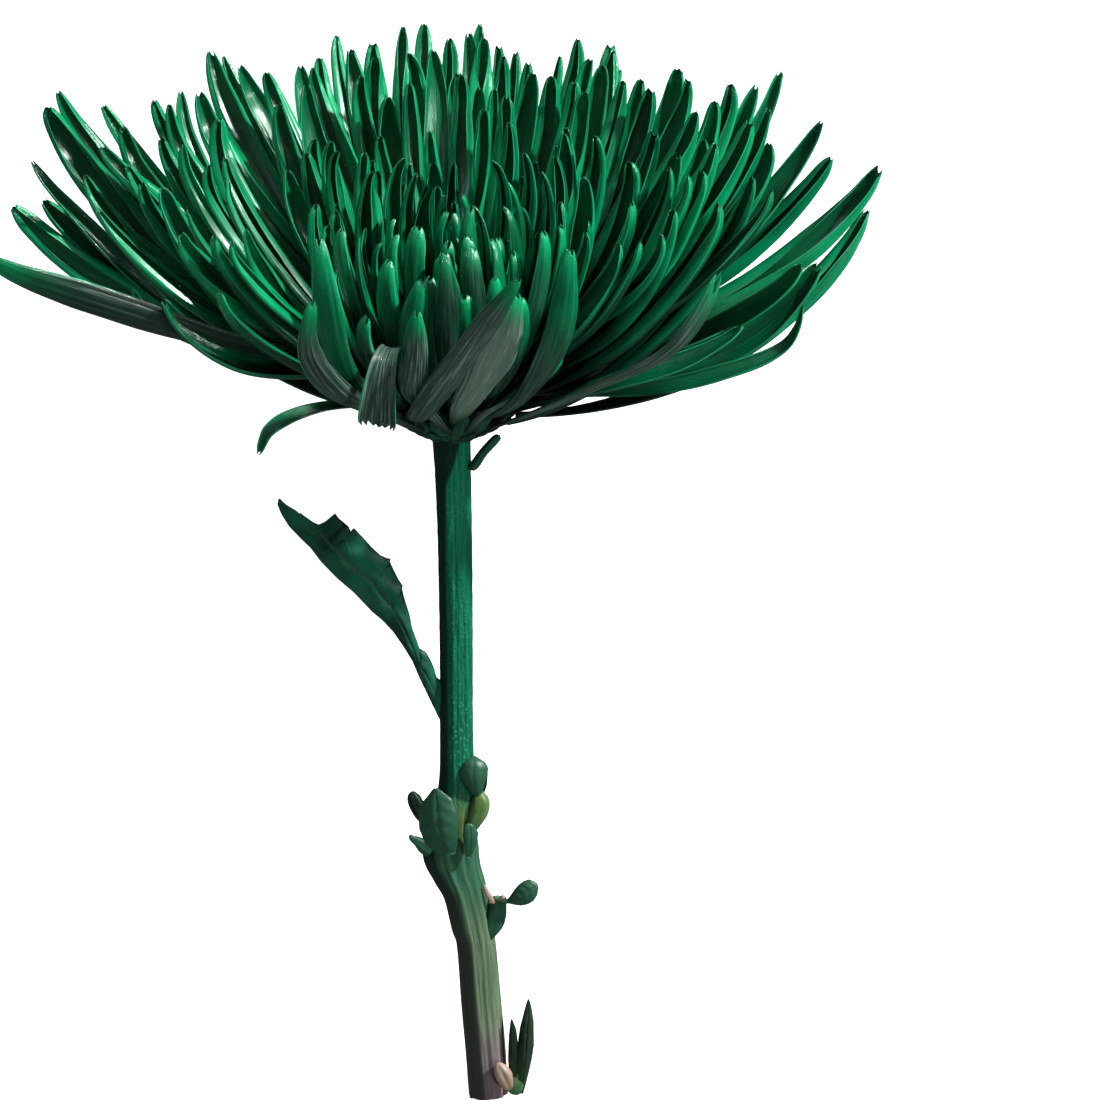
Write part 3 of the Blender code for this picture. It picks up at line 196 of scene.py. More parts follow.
def grow():
    """Middle line, half-width, roll and pin of each floret, in mm."""
    rng = np.random.default_rng(5)
    florets = plan()
    n = len(florets)
    q = np.array([f["q"] for f in florets])
    phi = np.array([f["phi"] for f in florets])
    ray = np.array([f["ray"] for f in florets])
    tip_phi = phi + rng.normal(0, 0.05, n) * np.where(q < 0.6, 2.6, 1.0)
    reach = rim(tip_phi) * (0.04 + 0.96 * q**1.55) * (1 + rng.normal(0, 0.05, n))
    reach = np.where(ray, rim(tip_phi) * rng.uniform(0.88, 1.02, n), reach)
    tu, td = reach * np.sin(tip_phi), reach * np.cos(tip_phi)
    th = crown(tu, td) * (1 + rng.uniform(-0.13, 0.05, n)) - 18.0 * ray * rng.uniform(0, 1, n)
    ru = np.array([on_dome(f["polar"], f["phi"])[0] for f in florets])
    used = np.zeros(n, bool)
    for name, (pts, hw, roll) in COURSES.items():
        u, d, h = drawn(*np.array(pts, float).T)
        far = np.hypot(u[0] - ru[:, 0], d[0] - ru[:, 1]) + 1e3 * ~ray + 1e6 * used
        i = int(np.argmin(far))
        used[i] = True
        florets[i]["course"] = (name, np.stack([u, d, h], 1), hw, roll)
    for x, y in TIPS:
        u = x - TIP_X
        d = np.linspace(-460, 300, 381)
        r = np.hypot(u, d)
        miss = np.abs(crown(u, d) * math.cos(TILT) - d * math.sin(TILT) - (TIP_Y - y)) + 5 * np.maximum(0, r - 1.04 * rim(np.arctan2(u, d)))
        d = d[int(np.argmin(miss))]
        far = np.sqrt((tu - u) ** 2 + (0.6 * (td - d)) ** 2) + 1e6 * used
        i = int(np.argmin(far))
        used[i] = True
        tu[i], td[i] = u, d
        th[i] = drawn(x, y, d)[2]
        florets[i]["tip"] = True
    fore = 0.5 + 0.5 * np.cos(tip_phi)
    sunk = 1 - np.where(q < 0.5, 0.26, 0.05 + 0.15 * fore) * rng.uniform(0.1, 1.0, n)
    th = np.where(used | ray, th, th * sunk)
    level = TIP_Y - th * math.cos(TILT) + td * math.sin(TILT)  # how low each tip shows
    deep = np.clip(level - 236, 0, None) * (fore > 0.5)
    th = np.where(used, th, th + rng.uniform(0.1, 0.85, n) * deep / math.cos(TILT))
    odd = np.array([(f["row"] + f["col"]) % 2 for f in florets])
    short = ~used & ~ray & (fore > 0.74) & (odd == 0)  # at the front every other one stays short
    th = np.where(short, th * rng.uniform(0.48, 0.70, n), th)
    tu, td = np.where(short, 0.86 * tu, tu), np.where(short, 0.86 * td, td)
    lines, half, roll, flat, pin = [], [], [], [], []
    s = np.linspace(0, 1, NODES)
    for i, f in enumerate(florets):
        if "course" in f:
            name, pts, hw, turn = f["course"]
            root, _ = on_dome(f["polar"], f["phi"], 3.0)
            pts = np.vstack([root, pts[1:]])
            lines.append(smooth_line(place(pts[:, 0], pts[:, 1], pts[:, 2]), NODES))
            share = width_share(s, True)
            if name == "reflexed":
                share = np.interp(s, [0, 0.1, 0.3, 0.55, 0.8, 1], [0.4, 0.42, 0.44, 0.5, 0.84, 1.06])
            if name == "front_diagonal":
                share = np.interp(s, [0, 0.08, 0.2, 0.4, 0.7, 0.85, 0.95, 1], [0.6, 0.9, 1.0, 1.0, 0.96, 0.82, 0.58, 0.42])
            if name == "front_right_broad":
                share = np.interp(s, [0, 0.1, 0.3, 0.55, 0.8, 0.93, 1], [0.42, 0.55, 0.80, 1.0, 0.96, 0.72, 0.45])
            half.append(hw * UNIT * share)
            roll.append(math.radians(turn))
            flat.append(0.42)
            pin.append(2)
            continue
        a, straight = on_dome(f["polar"], f["phi"], 3.0 if f["ray"] else 0.0)
        b = np.array([tu[i], td[i], th[i]])
        length = np.linalg.norm(b - a)
        to = math.atan2(b[0] - a[0], b[1] - a[1])
        turn = (to - f["phi"] + math.pi) % (2 * math.pi) - math.pi
        lead = f["phi"] + (0.5 * turn if abs(turn) < 1.2 else 0.0)
        chord = math.atan2(b[2] - a[2], math.hypot(b[0], b[1]) - math.hypot(a[0], a[1]))
        bow = math.radians(rng.uniform(10, 20) + 8 * (1 - f["q"]))
        sway = rng.normal(0, 0.24) * (1.7 if f["q"] < 0.8 else 1.0)
        low = max(chord - bow, math.radians(2))
        high = chord + 1.5 * bow
        start = np.array([math.sin(lead) * math.cos(low), math.cos(lead) * math.cos(low), math.sin(low)])
        start = start + 0.35 * straight
        start *= length / np.linalg.norm(start)
        end = length * np.array([math.sin(to + sway) * math.cos(high), math.cos(to + sway) * math.cos(high), math.sin(high)])
        line = hermite(a, b, start, end, 40)
        lines.append(even(place(line[:, 0], line[:, 1], line[:, 2]), NODES))
        back = 0.5 - 0.5 * math.cos(to)
        wide = np.interp(f["q"], [0, 0.25, 0.5, 0.8, 1], [9.0, 11.0, 13.0, 14.5, 15.5]) * (1 - 0.10 * back - 0.24 * f["q"] * (1 - back) ** 2) * rng.uniform(0.84, 1.14)
        half.append(wide * UNIT * width_share(s, f["ray"]))
        roll.append(rng.normal(0, math.radians(17)) - math.radians(34) * math.sin(to) - math.radians(10) * max(0, math.sin(to)))
        flat.append(rng.uniform(0.54, 0.68))
        pin.append(1 if "tip" in f else 0)
    return florets, np.array(lines), np.array(half), np.array(roll), np.array(flat), np.array(pin)


def frames(x, roll):
    """Tangent, sideways and upper-face directions along each middle line."""
    t = np.gradient(x, axis=1)
    t /= np.linalg.norm(t, axis=2, keepdims=True)
    mid = x[:, x.shape[1] // 2] - place(0, 0, 0)
    phi = np.arctan2(mid @ SIDE, mid @ FRONT)
    across = np.cos(phi)[:, None] * SIDE - np.sin(phi)[:, None] * FRONT
    lat = across[:, None, :] - (across[:, None, :] * t).sum(2, keepdims=True) * t
    lat /= np.linalg.norm(lat, axis=2, keepdims=True)
    n = np.cross(lat, t)
    a = roll[:, None, None] * np.clip(np.linspace(0, 1.6, x.shape[1]), 0, 1)[None, :, None]
    return t, lat * np.cos(a) + n * np.sin(a), n * np.cos(a) - lat * np.sin(a)


def near_pairs(points, owner, reach):
    """Pairs of points of different florets closer than reach."""
    cell = np.floor(points / reach).astype(np.int64)
    cell -= cell.min(0) - 1
    dims = cell.max(0) + 2
    key = (cell[:, 0] * dims[1] + cell[:, 1]) * dims[2] + cell[:, 2]
    order = np.argsort(key, kind="stable")
    ranked = key[order]
    first, second = [], []
    for dx in (-1, 0, 1):
        for dy in (-1, 0, 1):
            for dz in (-1, 0, 1):
                want = key + (dx * dims[1] + dy) * dims[2] + dz
                low = np.searchsorted(ranked, want, "left")
                num = np.searchsorted(ranked, want, "right") - low
                a = np.repeat(np.arange(len(key)), num)
                b = order[np.repeat(low - np.r_[0, np.cumsum(num)[:-1]], num) + np.arange(len(a))]
                keep = (a < b) & (owner[a] != owner[b])
                a, b = a[keep], b[keep]
                near = ((points[a] - points[b]) ** 2).sum(1) < reach * reach
                first.append(a[near])
                second.append(b[near])
    return np.concatenate(first), np.concatenate(second)


def squeeze(x, half, thick, roll, i, j, gap, slack=1.0):
    """How far two florets' sections overlap at a pair of points: below 1 they do."""
    t, lat, n = (v.reshape(-1, 3) for v in frames(x, roll))
    p = x.reshape(-1, 3)
    hf, kf = half.reshape(-1), thick.reshape(-1)
    delta = p[i] - p[j]
    tm = t[i] + t[j] * np.sign((t[i] * t[j]).sum(1))[:, None]
    tm /= np.linalg.norm(tm, axis=1, keepdims=True) + 1e-9
    along = (delta * tm).sum(1)
    cross = delta - along[:, None] * tm
    nm = n[i] + n[j] * np.sign((n[i] * n[j]).sum(1))[:, None]
    nm -= (nm * tm).sum(1)[:, None] * tm
    nm /= np.linalg.norm(nm, axis=1, keepdims=True) + 1e-9
    lm = np.cross(tm, nm)
    dl, dn = (cross * lm).sum(1), (cross * nm).sum(1)
    wl, wn = (hf[i] + hf[j] + gap) * slack, (kf[i] + kf[j] + gap) * slack
    return np.sqrt((dl / wl) ** 2 + (dn / wn) ** 2) + 1e-6, along, dl, dn, wl, wn, lm, nm


def settle(x, half, flat, roll, pin, rounds=130, gap=0.25):
    """Florets make room for each other and lie on the surface below."""
    count, m = x.shape[:2]
    rest = np.linalg.norm(np.diff(x, axis=1), axis=2)
    thick = half * flat[:, None]
    _, lat, n = frames(x, roll)
    low = np.hypot(half * lat[..., 2], thick * n[..., 2])
    z = x[..., 2]
    x[..., 2] = np.where(z - low > 5, z, low + 5 * np.exp(np.minimum(0, z - low - 5) / 5))
    home = x.copy()
    owner, order = np.repeat(np.arange(count), m), np.tile(np.arange(m), count)
    hold = np.where(pin == 2, 0.30, np.where(pin == 1, 0.06, 0.03))[:, None, None] * np.ones((1, m, 1))
    give = np.where(pin == 2, 0.25, 1.0)
    for it in range(rounds):
        if it % 8 == 0:
            near = near_pairs(x.reshape(-1, 3), owner, 6.0)
        i, j = near
        e, along, dl, dn, wl, wn, lm, nm = squeeze(x, half, thick, roll, i, j, gap, min(1.0, 0.35 + 0.65 * it / (0.6 * rounds)))
        seg = 0.62 * np.maximum(rest.mean(1)[owner[i]], rest.mean(1)[owner[j]])
        hit = (e < 1) & (np.abs(along) < seg) & ((order[i] > 0) | (order[j] > 0))
        i, j, e, dl, dn, wl, wn, lm, nm = (v[hit] for v in (i, j, e, dl, dn, wl, wn, lm, nm))
        gl, gn = dl / wl**2 / e, np.where(np.abs(dn) < 1e-3, 1e-3, dn) / wn**2 / e
        step = (1 - e) / (gl**2 + gn**2)
        push = (gl * step)[:, None] * lm + (gn * step)[:, None] * nm
        push *= np.minimum(1, 0.8 / (np.linalg.norm(push, axis=1, keepdims=True) + 1e-9))
        share = (give[owner[i]] / (give[owner[i]] + give[owner[j]]))[:, None]
        move, hits = np.zeros((count * m, 3)), np.zeros(count * m)
        for k in range(3):
            move[:, k] = np.bincount(i, (push * share)[:, k], count * m) - np.bincount(j, (push * (1 - share))[:, k], count * m)
        hits = np.bincount(i, minlength=count * m) + np.bincount(j, minlength=count * m)
        move = (move / np.sqrt(np.maximum(1, hits))[:, None]).reshape(count, m, 3)
        for _ in range(2):  # a push on one point carries its neighbours along
            move[:, 0] = 0
            soft = move.copy()
            soft[:, 1:-1] = 0.25 * move[:, :-2] + 0.5 * move[:, 1:-1] + 0.25 * move[:, 2:]
            soft[:, -1] = 0.4 * move[:, -2] + 0.6 * move[:, -1]
            move = soft
        move[:, 0] = 0
        x = x + 0.9 * move
        x = x + 0.5 * hold * (home - x) * (1 - 0.75 * it / rounds)
        x[pin > 0, -1, :2] += 0.4 * (home[pin > 0, -1, :2] - x[pin > 0, -1, :2])
        for _ in range(2):  # a floret keeps its bend and its length
            bend = x[:, 1:-1] - 0.5 * (x[:, :-2] + x[:, 2:]) - home[:, 1:-1] + 0.5 * (home[:, :-2] + home[:, 2:])
            x[:, 1:-1] -= 0.35 * bend
            link = np.diff(x, axis=1)
            size = np.linalg.norm(link, axis=2)
            fix = link * ((size - rest) / size * 0.25)[..., None]
            x[:, 1:] -= fix
            x[:, :-1] += fix
            x[:, 0] = home[:, 0]
        _, lat, n = frames(x, roll)
        x[..., 2] = np.maximum(x[..., 2], np.hypot(half * lat[..., 2], thick * n[..., 2]))
    return x


# ---------------------------------------------------------------- meshes
def spline(p, s):
    """Smooth curve through equally spaced rows of p, at shares s of its length."""
    p = np.asarray(p, float)
    flat = p.ndim == 1
    if flat:
        p = p[:, None]
    m = len(p)
    u = np.clip(s, 0, 1) * (m - 1)
    k = np.clip(u.astype(int), 0, m - 2)
    f = (u - k)[:, None]
    q = np.vstack([2 * p[0] - p[1], p, 2 * p[-1] - p[-2]])
    a, b, c, d = q[k], q[k + 1], q[k + 2], q[k + 3]
    out = 0.5 * (2 * b + (c - a) * f + (2 * a - 5 * b + 4 * c - d) * f**2 + (3 * b - a - 3 * c + d) * f**3)
    return out[:, 0] if flat else out


def unit(v):
    return v / np.maximum(np.linalg.norm(v, axis=-1, keepdims=True), 1e-12)


def at_shares(s, table, where):
    """Rows of a table given at shares s, read at other shares."""
    return np.stack([np.interp(where, s, table[..., k]) for k in range(table.shape[-1])], -1)


def grid_faces(rows, cols, wrap=False):
    a = np.arange(rows * cols).reshape(rows, cols)
    right = np.roll(a, -1, 1) if wrap else a[:, 1:]
    left = a if wrap else a[:, :-1]
    return np.stack([left[:-1], right[:-1], right[1:], left[1:]], -1).reshape(-1, 4)


def mesh_object(name, points, faces, material, slot, nodes, surface=None, tone=None, smooth=True):
    """A mesh from points in mm, with its place on its own surface kept as attributes."""
    points = np.asarray(points, float).reshape(-1, 3) - SHIFT
    points[:, 2] = np.maximum(points[:, 2], 0.0)
    mesh = bpy.data.meshes.new(name)
    faces = np.asarray(faces, np.int32)
    mesh.vertices.add(len(points))
    mesh.vertices.foreach_set("co", (points * 0.001).astype(np.float32).ravel())
    mesh.loops.add(faces.size)
    mesh.loops.foreach_set("vertex_index", faces.ravel())
    mesh.polygons.add(len(faces))
    mesh.polygons.foreach_set("loop_start", np.arange(0, faces.size, faces.shape[1], dtype=np.int32))
    mesh.polygons.foreach_set("loop_total", np.full(len(faces), faces.shape[1], np.int32))
    mesh.update(calc_edges=True)
    mesh.validate()
    if smooth:
        mesh.shade_smooth()
    if surface is not None:
        mesh.attributes.new("surface", "FLOAT_VECTOR", "POINT").data.foreach_set("vector", np.asarray(surface, np.float32).ravel())
    if tone is not None:
        tones = np.broadcast_to(np.asarray(tone, np.float32), (len(points), 3)).ravel()
        mesh.attributes.new("tone", "FLOAT_VECTOR", "POINT").data.foreach_set("vector", np.ascontiguousarray(tones))
    mesh.materials.append(material)
    obj = bpy.data.objects.new(name, mesh)
    bpy.context.scene.collection.objects.link(obj)
    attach(obj, "root")
    if nodes:
        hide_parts(*nodes)
    return obj


def two_sided(rows, cols):
    """Faces of a sheet with an outer and an inner skin, closed round its rim. Corners: [side][row][col]."""
    n = rows * cols
    top = grid_faces(rows, cols)
    under = grid_faces(rows, cols)[:, ::-1] + n
    a = np.arange(n).reshape(rows, cols)
    strips = []
    for edge in (a[0, ::-1], a[-1], a[:, 0], a[::-1, -1]):
        strips.append(np.stack([edge[:-1], edge[1:], edge[1:] + n, edge[:-1] + n], -1)[:, ::-1])
    return np.concatenate([top, under, *strips])


def floret(name, x, half, flat, lat, n, look, material, slot, nodes, rows=38, cols=15):
    """One ray floret: a thin-walled channel, rolled into a tube at its root, pinched and toothed at its tip.

    x, lat and n give the middle line and its directions; look holds the rest, as plain numbers."""
    dense = 72
    s = np.linspace(0, 1, dense)
    c = spline(x, s)
    la, nn = spline(lat, s), spline(n, s)
    a = spline(half, s)
    length = np.linalg.norm(np.diff(c, axis=0), axis=1).sum()
    # the tip bends over, towards the flower's middle
    start = look["hook_from"]
    ang = look["hook"] * np.clip((s - start) / (1 - start), 0, 1) ** 1.3
    step = np.diff(c, axis=0)
    size = np.linalg.norm(step, axis=1, keepdims=True)
    t = unit(np.vstack([step, step[-1:]]))
    nn = unit(nn - (nn * t).sum(1, keepdims=True) * t)
    new_t = t * np.cos(ang)[:, None] - nn * np.sin(ang)[:, None]
    bent = np.vstack([c[:1], c[0] + np.cumsum(new_t[1:] * size, axis=0)])
    ease = np.clip((s - 0.35) / 0.65, 0, 1)[:, None] ** 2
    c = bent + (c[-1] - bent[-1]) * ease * look.get("hold", 1.0)
    t = unit(np.gradient(c, axis=0))
    nn = unit(nn * np.cos(ang)[:, None] + unit(np.vstack([step, step[-1:]])) * np.sin(ang)[:, None])
    nn = unit(nn - (nn * t).sum(1, keepdims=True) * t)
    la = unit(np.cross(t, nn))
    # slow twist and a little unevenness
    twist = look["twist"] * (s - 0.3)
    la, nn = la * np.cos(twist)[:, None] + nn * np.sin(twist)[:, None], nn * np.cos(twist)[:, None] - la * np.sin(twist)[:, None]
    a = a * np.interp(s, [0, 0.78, 0.9, 0.96, 1], [1, 1, look["neck"], look["neck"] * look["flare"], look["neck"] * look["flare"] * 0.9])
    a = a * (1 + 0.035 * np.sin(2 * math.pi * (look["wave"] * s + look["seed"])))
    close = np.clip((s - (1 - look["round"])) / look["round"], 0, 1)
    a = a * (look["mouth"] + (1 - look["mouth"]) * np.sqrt(1 - close**2))
    b = a * flat
    curl = np.interp(s, [0, 0.10, 0.35, 0.6, 0.85, 1.0], look["curl"])
    curl = curl + 0.10 * np.sin(2 * math.pi * (1.7 * s + 3 * look["seed"]))
    # corners: two skins, rows along the floret, columns round it
    row = 1 - (1 - np.linspace(0, 1, rows)) ** 1.25
    w = np.linspace(-1, 1, cols)
    w = w - 0.04 * np.sin(4 * math.pi * w)
    R, W = np.meshgrid(row, w, indexing="ij")
    gap = 0.5 + 0.5 * np.cos(math.pi * look["teeth"] * (W + 1))
    uneven = 1 + 0.45 * np.sin(5.1 * W + 40 * look["seed"])
    depth = look["tooth"] / length
    S = R - depth * uneven * gap * np.clip((R - (1 - 2.2 * depth - 0.03)) / (2.2 * depth + 0.03), 0, 1) ** 2
    C, LA, NN = at_shares(s, c, S), at_shares(s, la, S), at_shares(s, nn, S)
    A, B, K = np.interp(S, s, a)[..., None], np.interp(S, s, b)[..., None], np.interp(S, s, curl)
    th = (W * K)[..., None]
    fade = np.interp(S, [0, 0.15, 0.8, 1], [0.4, 1, 0.8, 0.2])[..., None]
    ridge = 1 + look["ridge"] * fade * np.cos(look["ridges"] * th + 6 * look["seed"])
    keel = 1 + look["keel"] * fade * np.cos(3 * th)
    # rims roll in
    wall = look["wall"] * np.interp(S, [0, 0.9, 1], [1, 1, 0.7])[..., None]
    # the side towards the axis is flatter, with a fold along its middle
    def high(t):
        c = np.cos(t)
        groove = 1 - look["groove"] * fade * np.exp(-((np.sin(t) / 0.42) ** 2))
        return np.where(c < 0, c * look["inner"] * groove, c)
    outer = C + LA * (A * ridge * keel * np.sin(th)) + NN * (B * ridge * keel * high(th))
    Ai, Bi = np.maximum(A - wall, 0.35 * A), np.maximum(B - wall, 0.35 * B)
    inner = C + LA * (Ai * np.sin(th * 0.985)) + NN * (Bi * high(th * 0.985))
    points = np.concatenate([outer.reshape(-1, 3), inner.reshape(-1, 3)])
    surface = np.zeros((2, rows, cols, 3))
    surface[..., 0], surface[..., 1] = W, S
    surface[1, ..., 2] = 1
    if look.get("swap"):
        surface[..., 2] = 1 - surface[..., 2]
    tone = (look["tone"], look["under"], look["seed"])
    obj = mesh_object(name, points, two_sided(rows, cols), material, slot, nodes, surface.reshape(-1, 3), tone)
    fold = np.tile(np.abs(th[..., 0]).ravel() / math.pi, 2)
    obj.data.attributes.new("fold", "FLOAT", "POINT").data.foreach_set("value", fold.astype(np.float32))
    return obj


def tube(name, rings, material, slot, nodes, tone=None, ends=True, surface=None):
    """Closed tube through rings of corners (rows, cols, 3)."""
    rings = np.asarray(rings, float)
    rows, cols = rings.shape[:2]
    points = [rings.reshape(-1, 3)]
    faces = [grid_faces(rows, cols, wrap=True)]
    if surface is None:
        R, W = np.meshgrid(np.linspace(0, 1, rows), np.linspace(-1, 1, cols, endpoint=False), indexing="ij")
        surface = np.stack([W, R, 0 * R], -1)
    surface = [surface.reshape(-1, 3)]
    if ends:
        for k, last in ((0, False), (rows - 1, True)):
            base = sum(len(p) for p in points)
            centre = rings[k].mean(0)
            shares = (0.66, 0.33, 0.02)
            previous = np.arange(cols) + k * cols
            for share in shares:
                points.append(centre + (rings[k] - centre) * share)
                lap = surface[0][k * cols : (k + 1) * cols].copy()
                lap[:, 2] = 1 - share
                surface.append(lap)
                now = np.arange(cols) + base
                base += cols
                quad = np.stack([previous, np.roll(previous, -1), np.roll(now, -1), now], -1)
                faces.append(quad if last else quad[:, ::-1])
                previous = now
    faces = np.concatenate(faces)
    if tone is None:
        tone = (0.5, 0.0, 0.3)
    return mesh_object(name, np.concatenate(points), faces, material, slot, nodes, np.concatenate(surface), tone)


def path_rings(path, rows, cols, lump=None):
    """Rings along a smooth path of (x, y, depth, half-width, half-depth)."""
    p = np.asarray(path, float)
    along = np.r_[0, np.cumsum(np.hypot(np.diff(p[:, 0]), np.diff(p[:, 1])))]
    s = np.linspace(0, 1, rows)
    want = s * along[-1]
    even_s = np.interp(want, along, np.linspace(0, 1, len(p)))
    q = spline(p, even_s)
    c = place(*drawn(q[:, 0], q[:, 1], q[:, 2]))
    t = unit(np.gradient(c, axis=0))
    across = unit(np.cross(FRONT, t))
    deep = np.cross(t, across)
    ang = 2 * math.pi * np.arange(cols) / cols
    S, A = np.meshgrid(s, ang, indexing="ij")
    r = np.ones_like(S) if lump is None else lump(S, A, q)
    out = c[:, None] + across[:, None] * (q[:, 3, None] * UNIT * r * np.cos(A))[..., None] + deep[:, None] * (q[:, 4, None] * UNIT * r * np.sin(A))[..., None]
    return out, S, A, q


def sheet(name, edge_a, edge_b, lift, rows, cols, thick, material, slot, nodes, tone, crease=0.0, ripple=0.0, bend=0.0):
    """Thin blade between two edges, each a list of (x, y, depth), with a middle rib."""
    def by_length(e):
        e = np.asarray(e, float)
        d = np.r_[0, np.cumsum(np.linalg.norm(np.diff(e[:, :2], axis=0), axis=1))]
        return d / d[-1], e
    s = np.linspace(0, 1, rows)
    (sa, a), (sb, b) = by_length(edge_a), by_length(edge_b)
    ea = np.stack([np.interp(s, sa, a[:, k]) for k in range(3)], 1)
    eb = np.stack([np.interp(s, sb, b[:, k]) for k in range(3)], 1)
    w = np.linspace(-1, 1, cols)
    share = (0.5 + 0.5 * w)[None, :, None]
    g = ea[:, None] * (1 - share) + eb[:, None] * share
    up = np.interp(s, np.linspace(0, 1, len(lift)), lift)[:, None]
    g[..., 2] += up * (1 - w[None] ** 2)
    g[..., 2] -= crease * np.exp(-((w[None] / 0.10) ** 2)) * np.sin(math.pi * s)[:, None]
    veins = np.cos(2 * math.pi * (5.5 * s[:, None] + 1.1 * np.abs(w)[None]))
    g[..., 2] += ripple * veins * (1 - np.abs(w)[None] ** 4) * np.sin(math.pi * s)[:, None]
    p = place(*drawn(g[..., 0], g[..., 1], g[..., 2]))
    du, dv = np.gradient(p, axis=1), np.gradient(p, axis=0)
    nrm = unit(np.cross(du, dv))
    if (nrm @ FRONT).mean() < 0:
        nrm = -nrm
    taper = np.minimum(1, (1 - np.abs(w)) * 5 + 0.25)[None, :, None]
    front, back = p + nrm * thick * 0.5 * taper, p - nrm * thick * 0.5 * taper
    S, W = np.meshgrid(s, w, indexing="ij")
    surface = np.zeros((2, rows, cols, 3))
    surface[..., 0], surface[..., 1] = W, S
    surface[1, ..., 2] = 1
    faces = two_sided(rows, cols)
    flip = (np.cross(du, dv) * nrm).sum(-1).mean() < 0
    if flip:
        faces = faces[:, ::-1]
    return mesh_object(name, np.concatenate([front.reshape(-1, 3), back.reshape(-1, 3)]), faces, material, slot, nodes, surface.reshape(-1, 3), tone)


# ---------------------------------------------------------------- materials
class Paint:
    """A material's nodes, made one after another."""

    def __init__(self, name):
        self.mat = bpy.data.materials.new(name)
        self.mat.use_nodes = True
        self.tree = self.mat.node_tree
        self.shader = self.tree.nodes["Principled BSDF"]

    def put(self, value, socket):
        if isinstance(value, bpy.types.NodeSocket):
            self.tree.links.new(value, socket)
        elif socket.type == "RGBA" and not isinstance(value, (int, float)):
            socket.default_value = (*value[:3], 1)
        else:
            socket.default_value = value

    def read(self, name):
        node = self.tree.nodes.new("ShaderNodeAttribute")
        node.attribute_name = name
        split = self.tree.nodes.new("ShaderNodeSeparateXYZ")
        self.tree.links.new(node.outputs["Vector"], split.inputs[0])
        return split.outputs

    def math(self, kind, a, b=0.0, c=0.0, clamp=False):
        node = self.tree.nodes.new("ShaderNodeMath")
        node.operation = kind
        node.use_clamp = clamp
        for value, socket in zip((a, b, c), node.inputs):
            self.put(value, socket)
        return node.outputs[0]

    def fit(self, value, low, high, to_low=0.0, to_high=1.0, smooth=True):
        node = self.tree.nodes.new("ShaderNodeMapRange")
        node.interpolation_type = "SMOOTHSTEP" if smooth else "LINEAR"
        for v, socket in zip((value, low, high, to_low, to_high), node.inputs):
            self.put(v, socket)
        return node.outputs[0]

    def mix(self, share, a, b, kind="MIX"):
        node = self.tree.nodes.new("ShaderNodeMix")
        node.data_type = "RGBA"
        node.blend_type = kind
        node.clamp_factor = True
        self.put(share, node.inputs["Factor"])
        self.put(a, [i for i in node.inputs if i.name == "A" and i.type == "RGBA"][0])
        self.put(b, [i for i in node.inputs if i.name == "B" and i.type == "RGBA"][0])
        return [o for o in node.outputs if o.type == "RGBA"][0]

    def place(self, x, y, z):
        node = self.tree.nodes.new("ShaderNodeCombineXYZ")
        for v, socket in zip((x, y, z), node.inputs):
            self.put(v, socket)
        return node.outputs[0]

    def value(self, name):
        node = self.tree.nodes.new("ShaderNodeAttribute")
        node.attribute_name = name
        return node.outputs["Fac"]

    def where(self):
        return self.tree.nodes.new("ShaderNodeTexCoord").outputs["Object"]

    def noise(self, vector, scale, detail=3.0, rough=0.55):
        node = self.tree.nodes.new("ShaderNodeTexNoise")
        self.put(vector, node.inputs["Vector"])
        self.put(scale, node.inputs["Scale"])
        self.put(detail, node.inputs["Detail"])
        self.put(rough, node.inputs["Roughness"])
        return node.outputs["Fac"]

    def cells(self, vector, scale):
        node = self.tree.nodes.new("ShaderNodeTexVoronoi")
        self.put(vector, node.inputs["Vector"])
        self.put(scale, node.inputs["Scale"])
        return node.outputs["Distance"]

    def bump(self, height, strength, distance):
        node = self.tree.nodes.new("ShaderNodeBump")
        self.put(height, node.inputs["Height"])
        node.inputs["Strength"].default_value = strength
        node.inputs["Distance"].default_value = distance
        self.tree.links.new(node.outputs[0], self.shader.inputs["Normal"])
        self.tree.links.new(node.outputs[0], self.shader.inputs["Coat Normal"])

    def done(self, colour, roughness, **fixed):
        self.put(colour, self.shader.inputs["Base Color"])
        self.put(roughness, self.shader.inputs["Roughness"])
        for key, value in fixed.items():
            self.shader.inputs[key.replace("_", " ")].default_value = value
        return self.mat


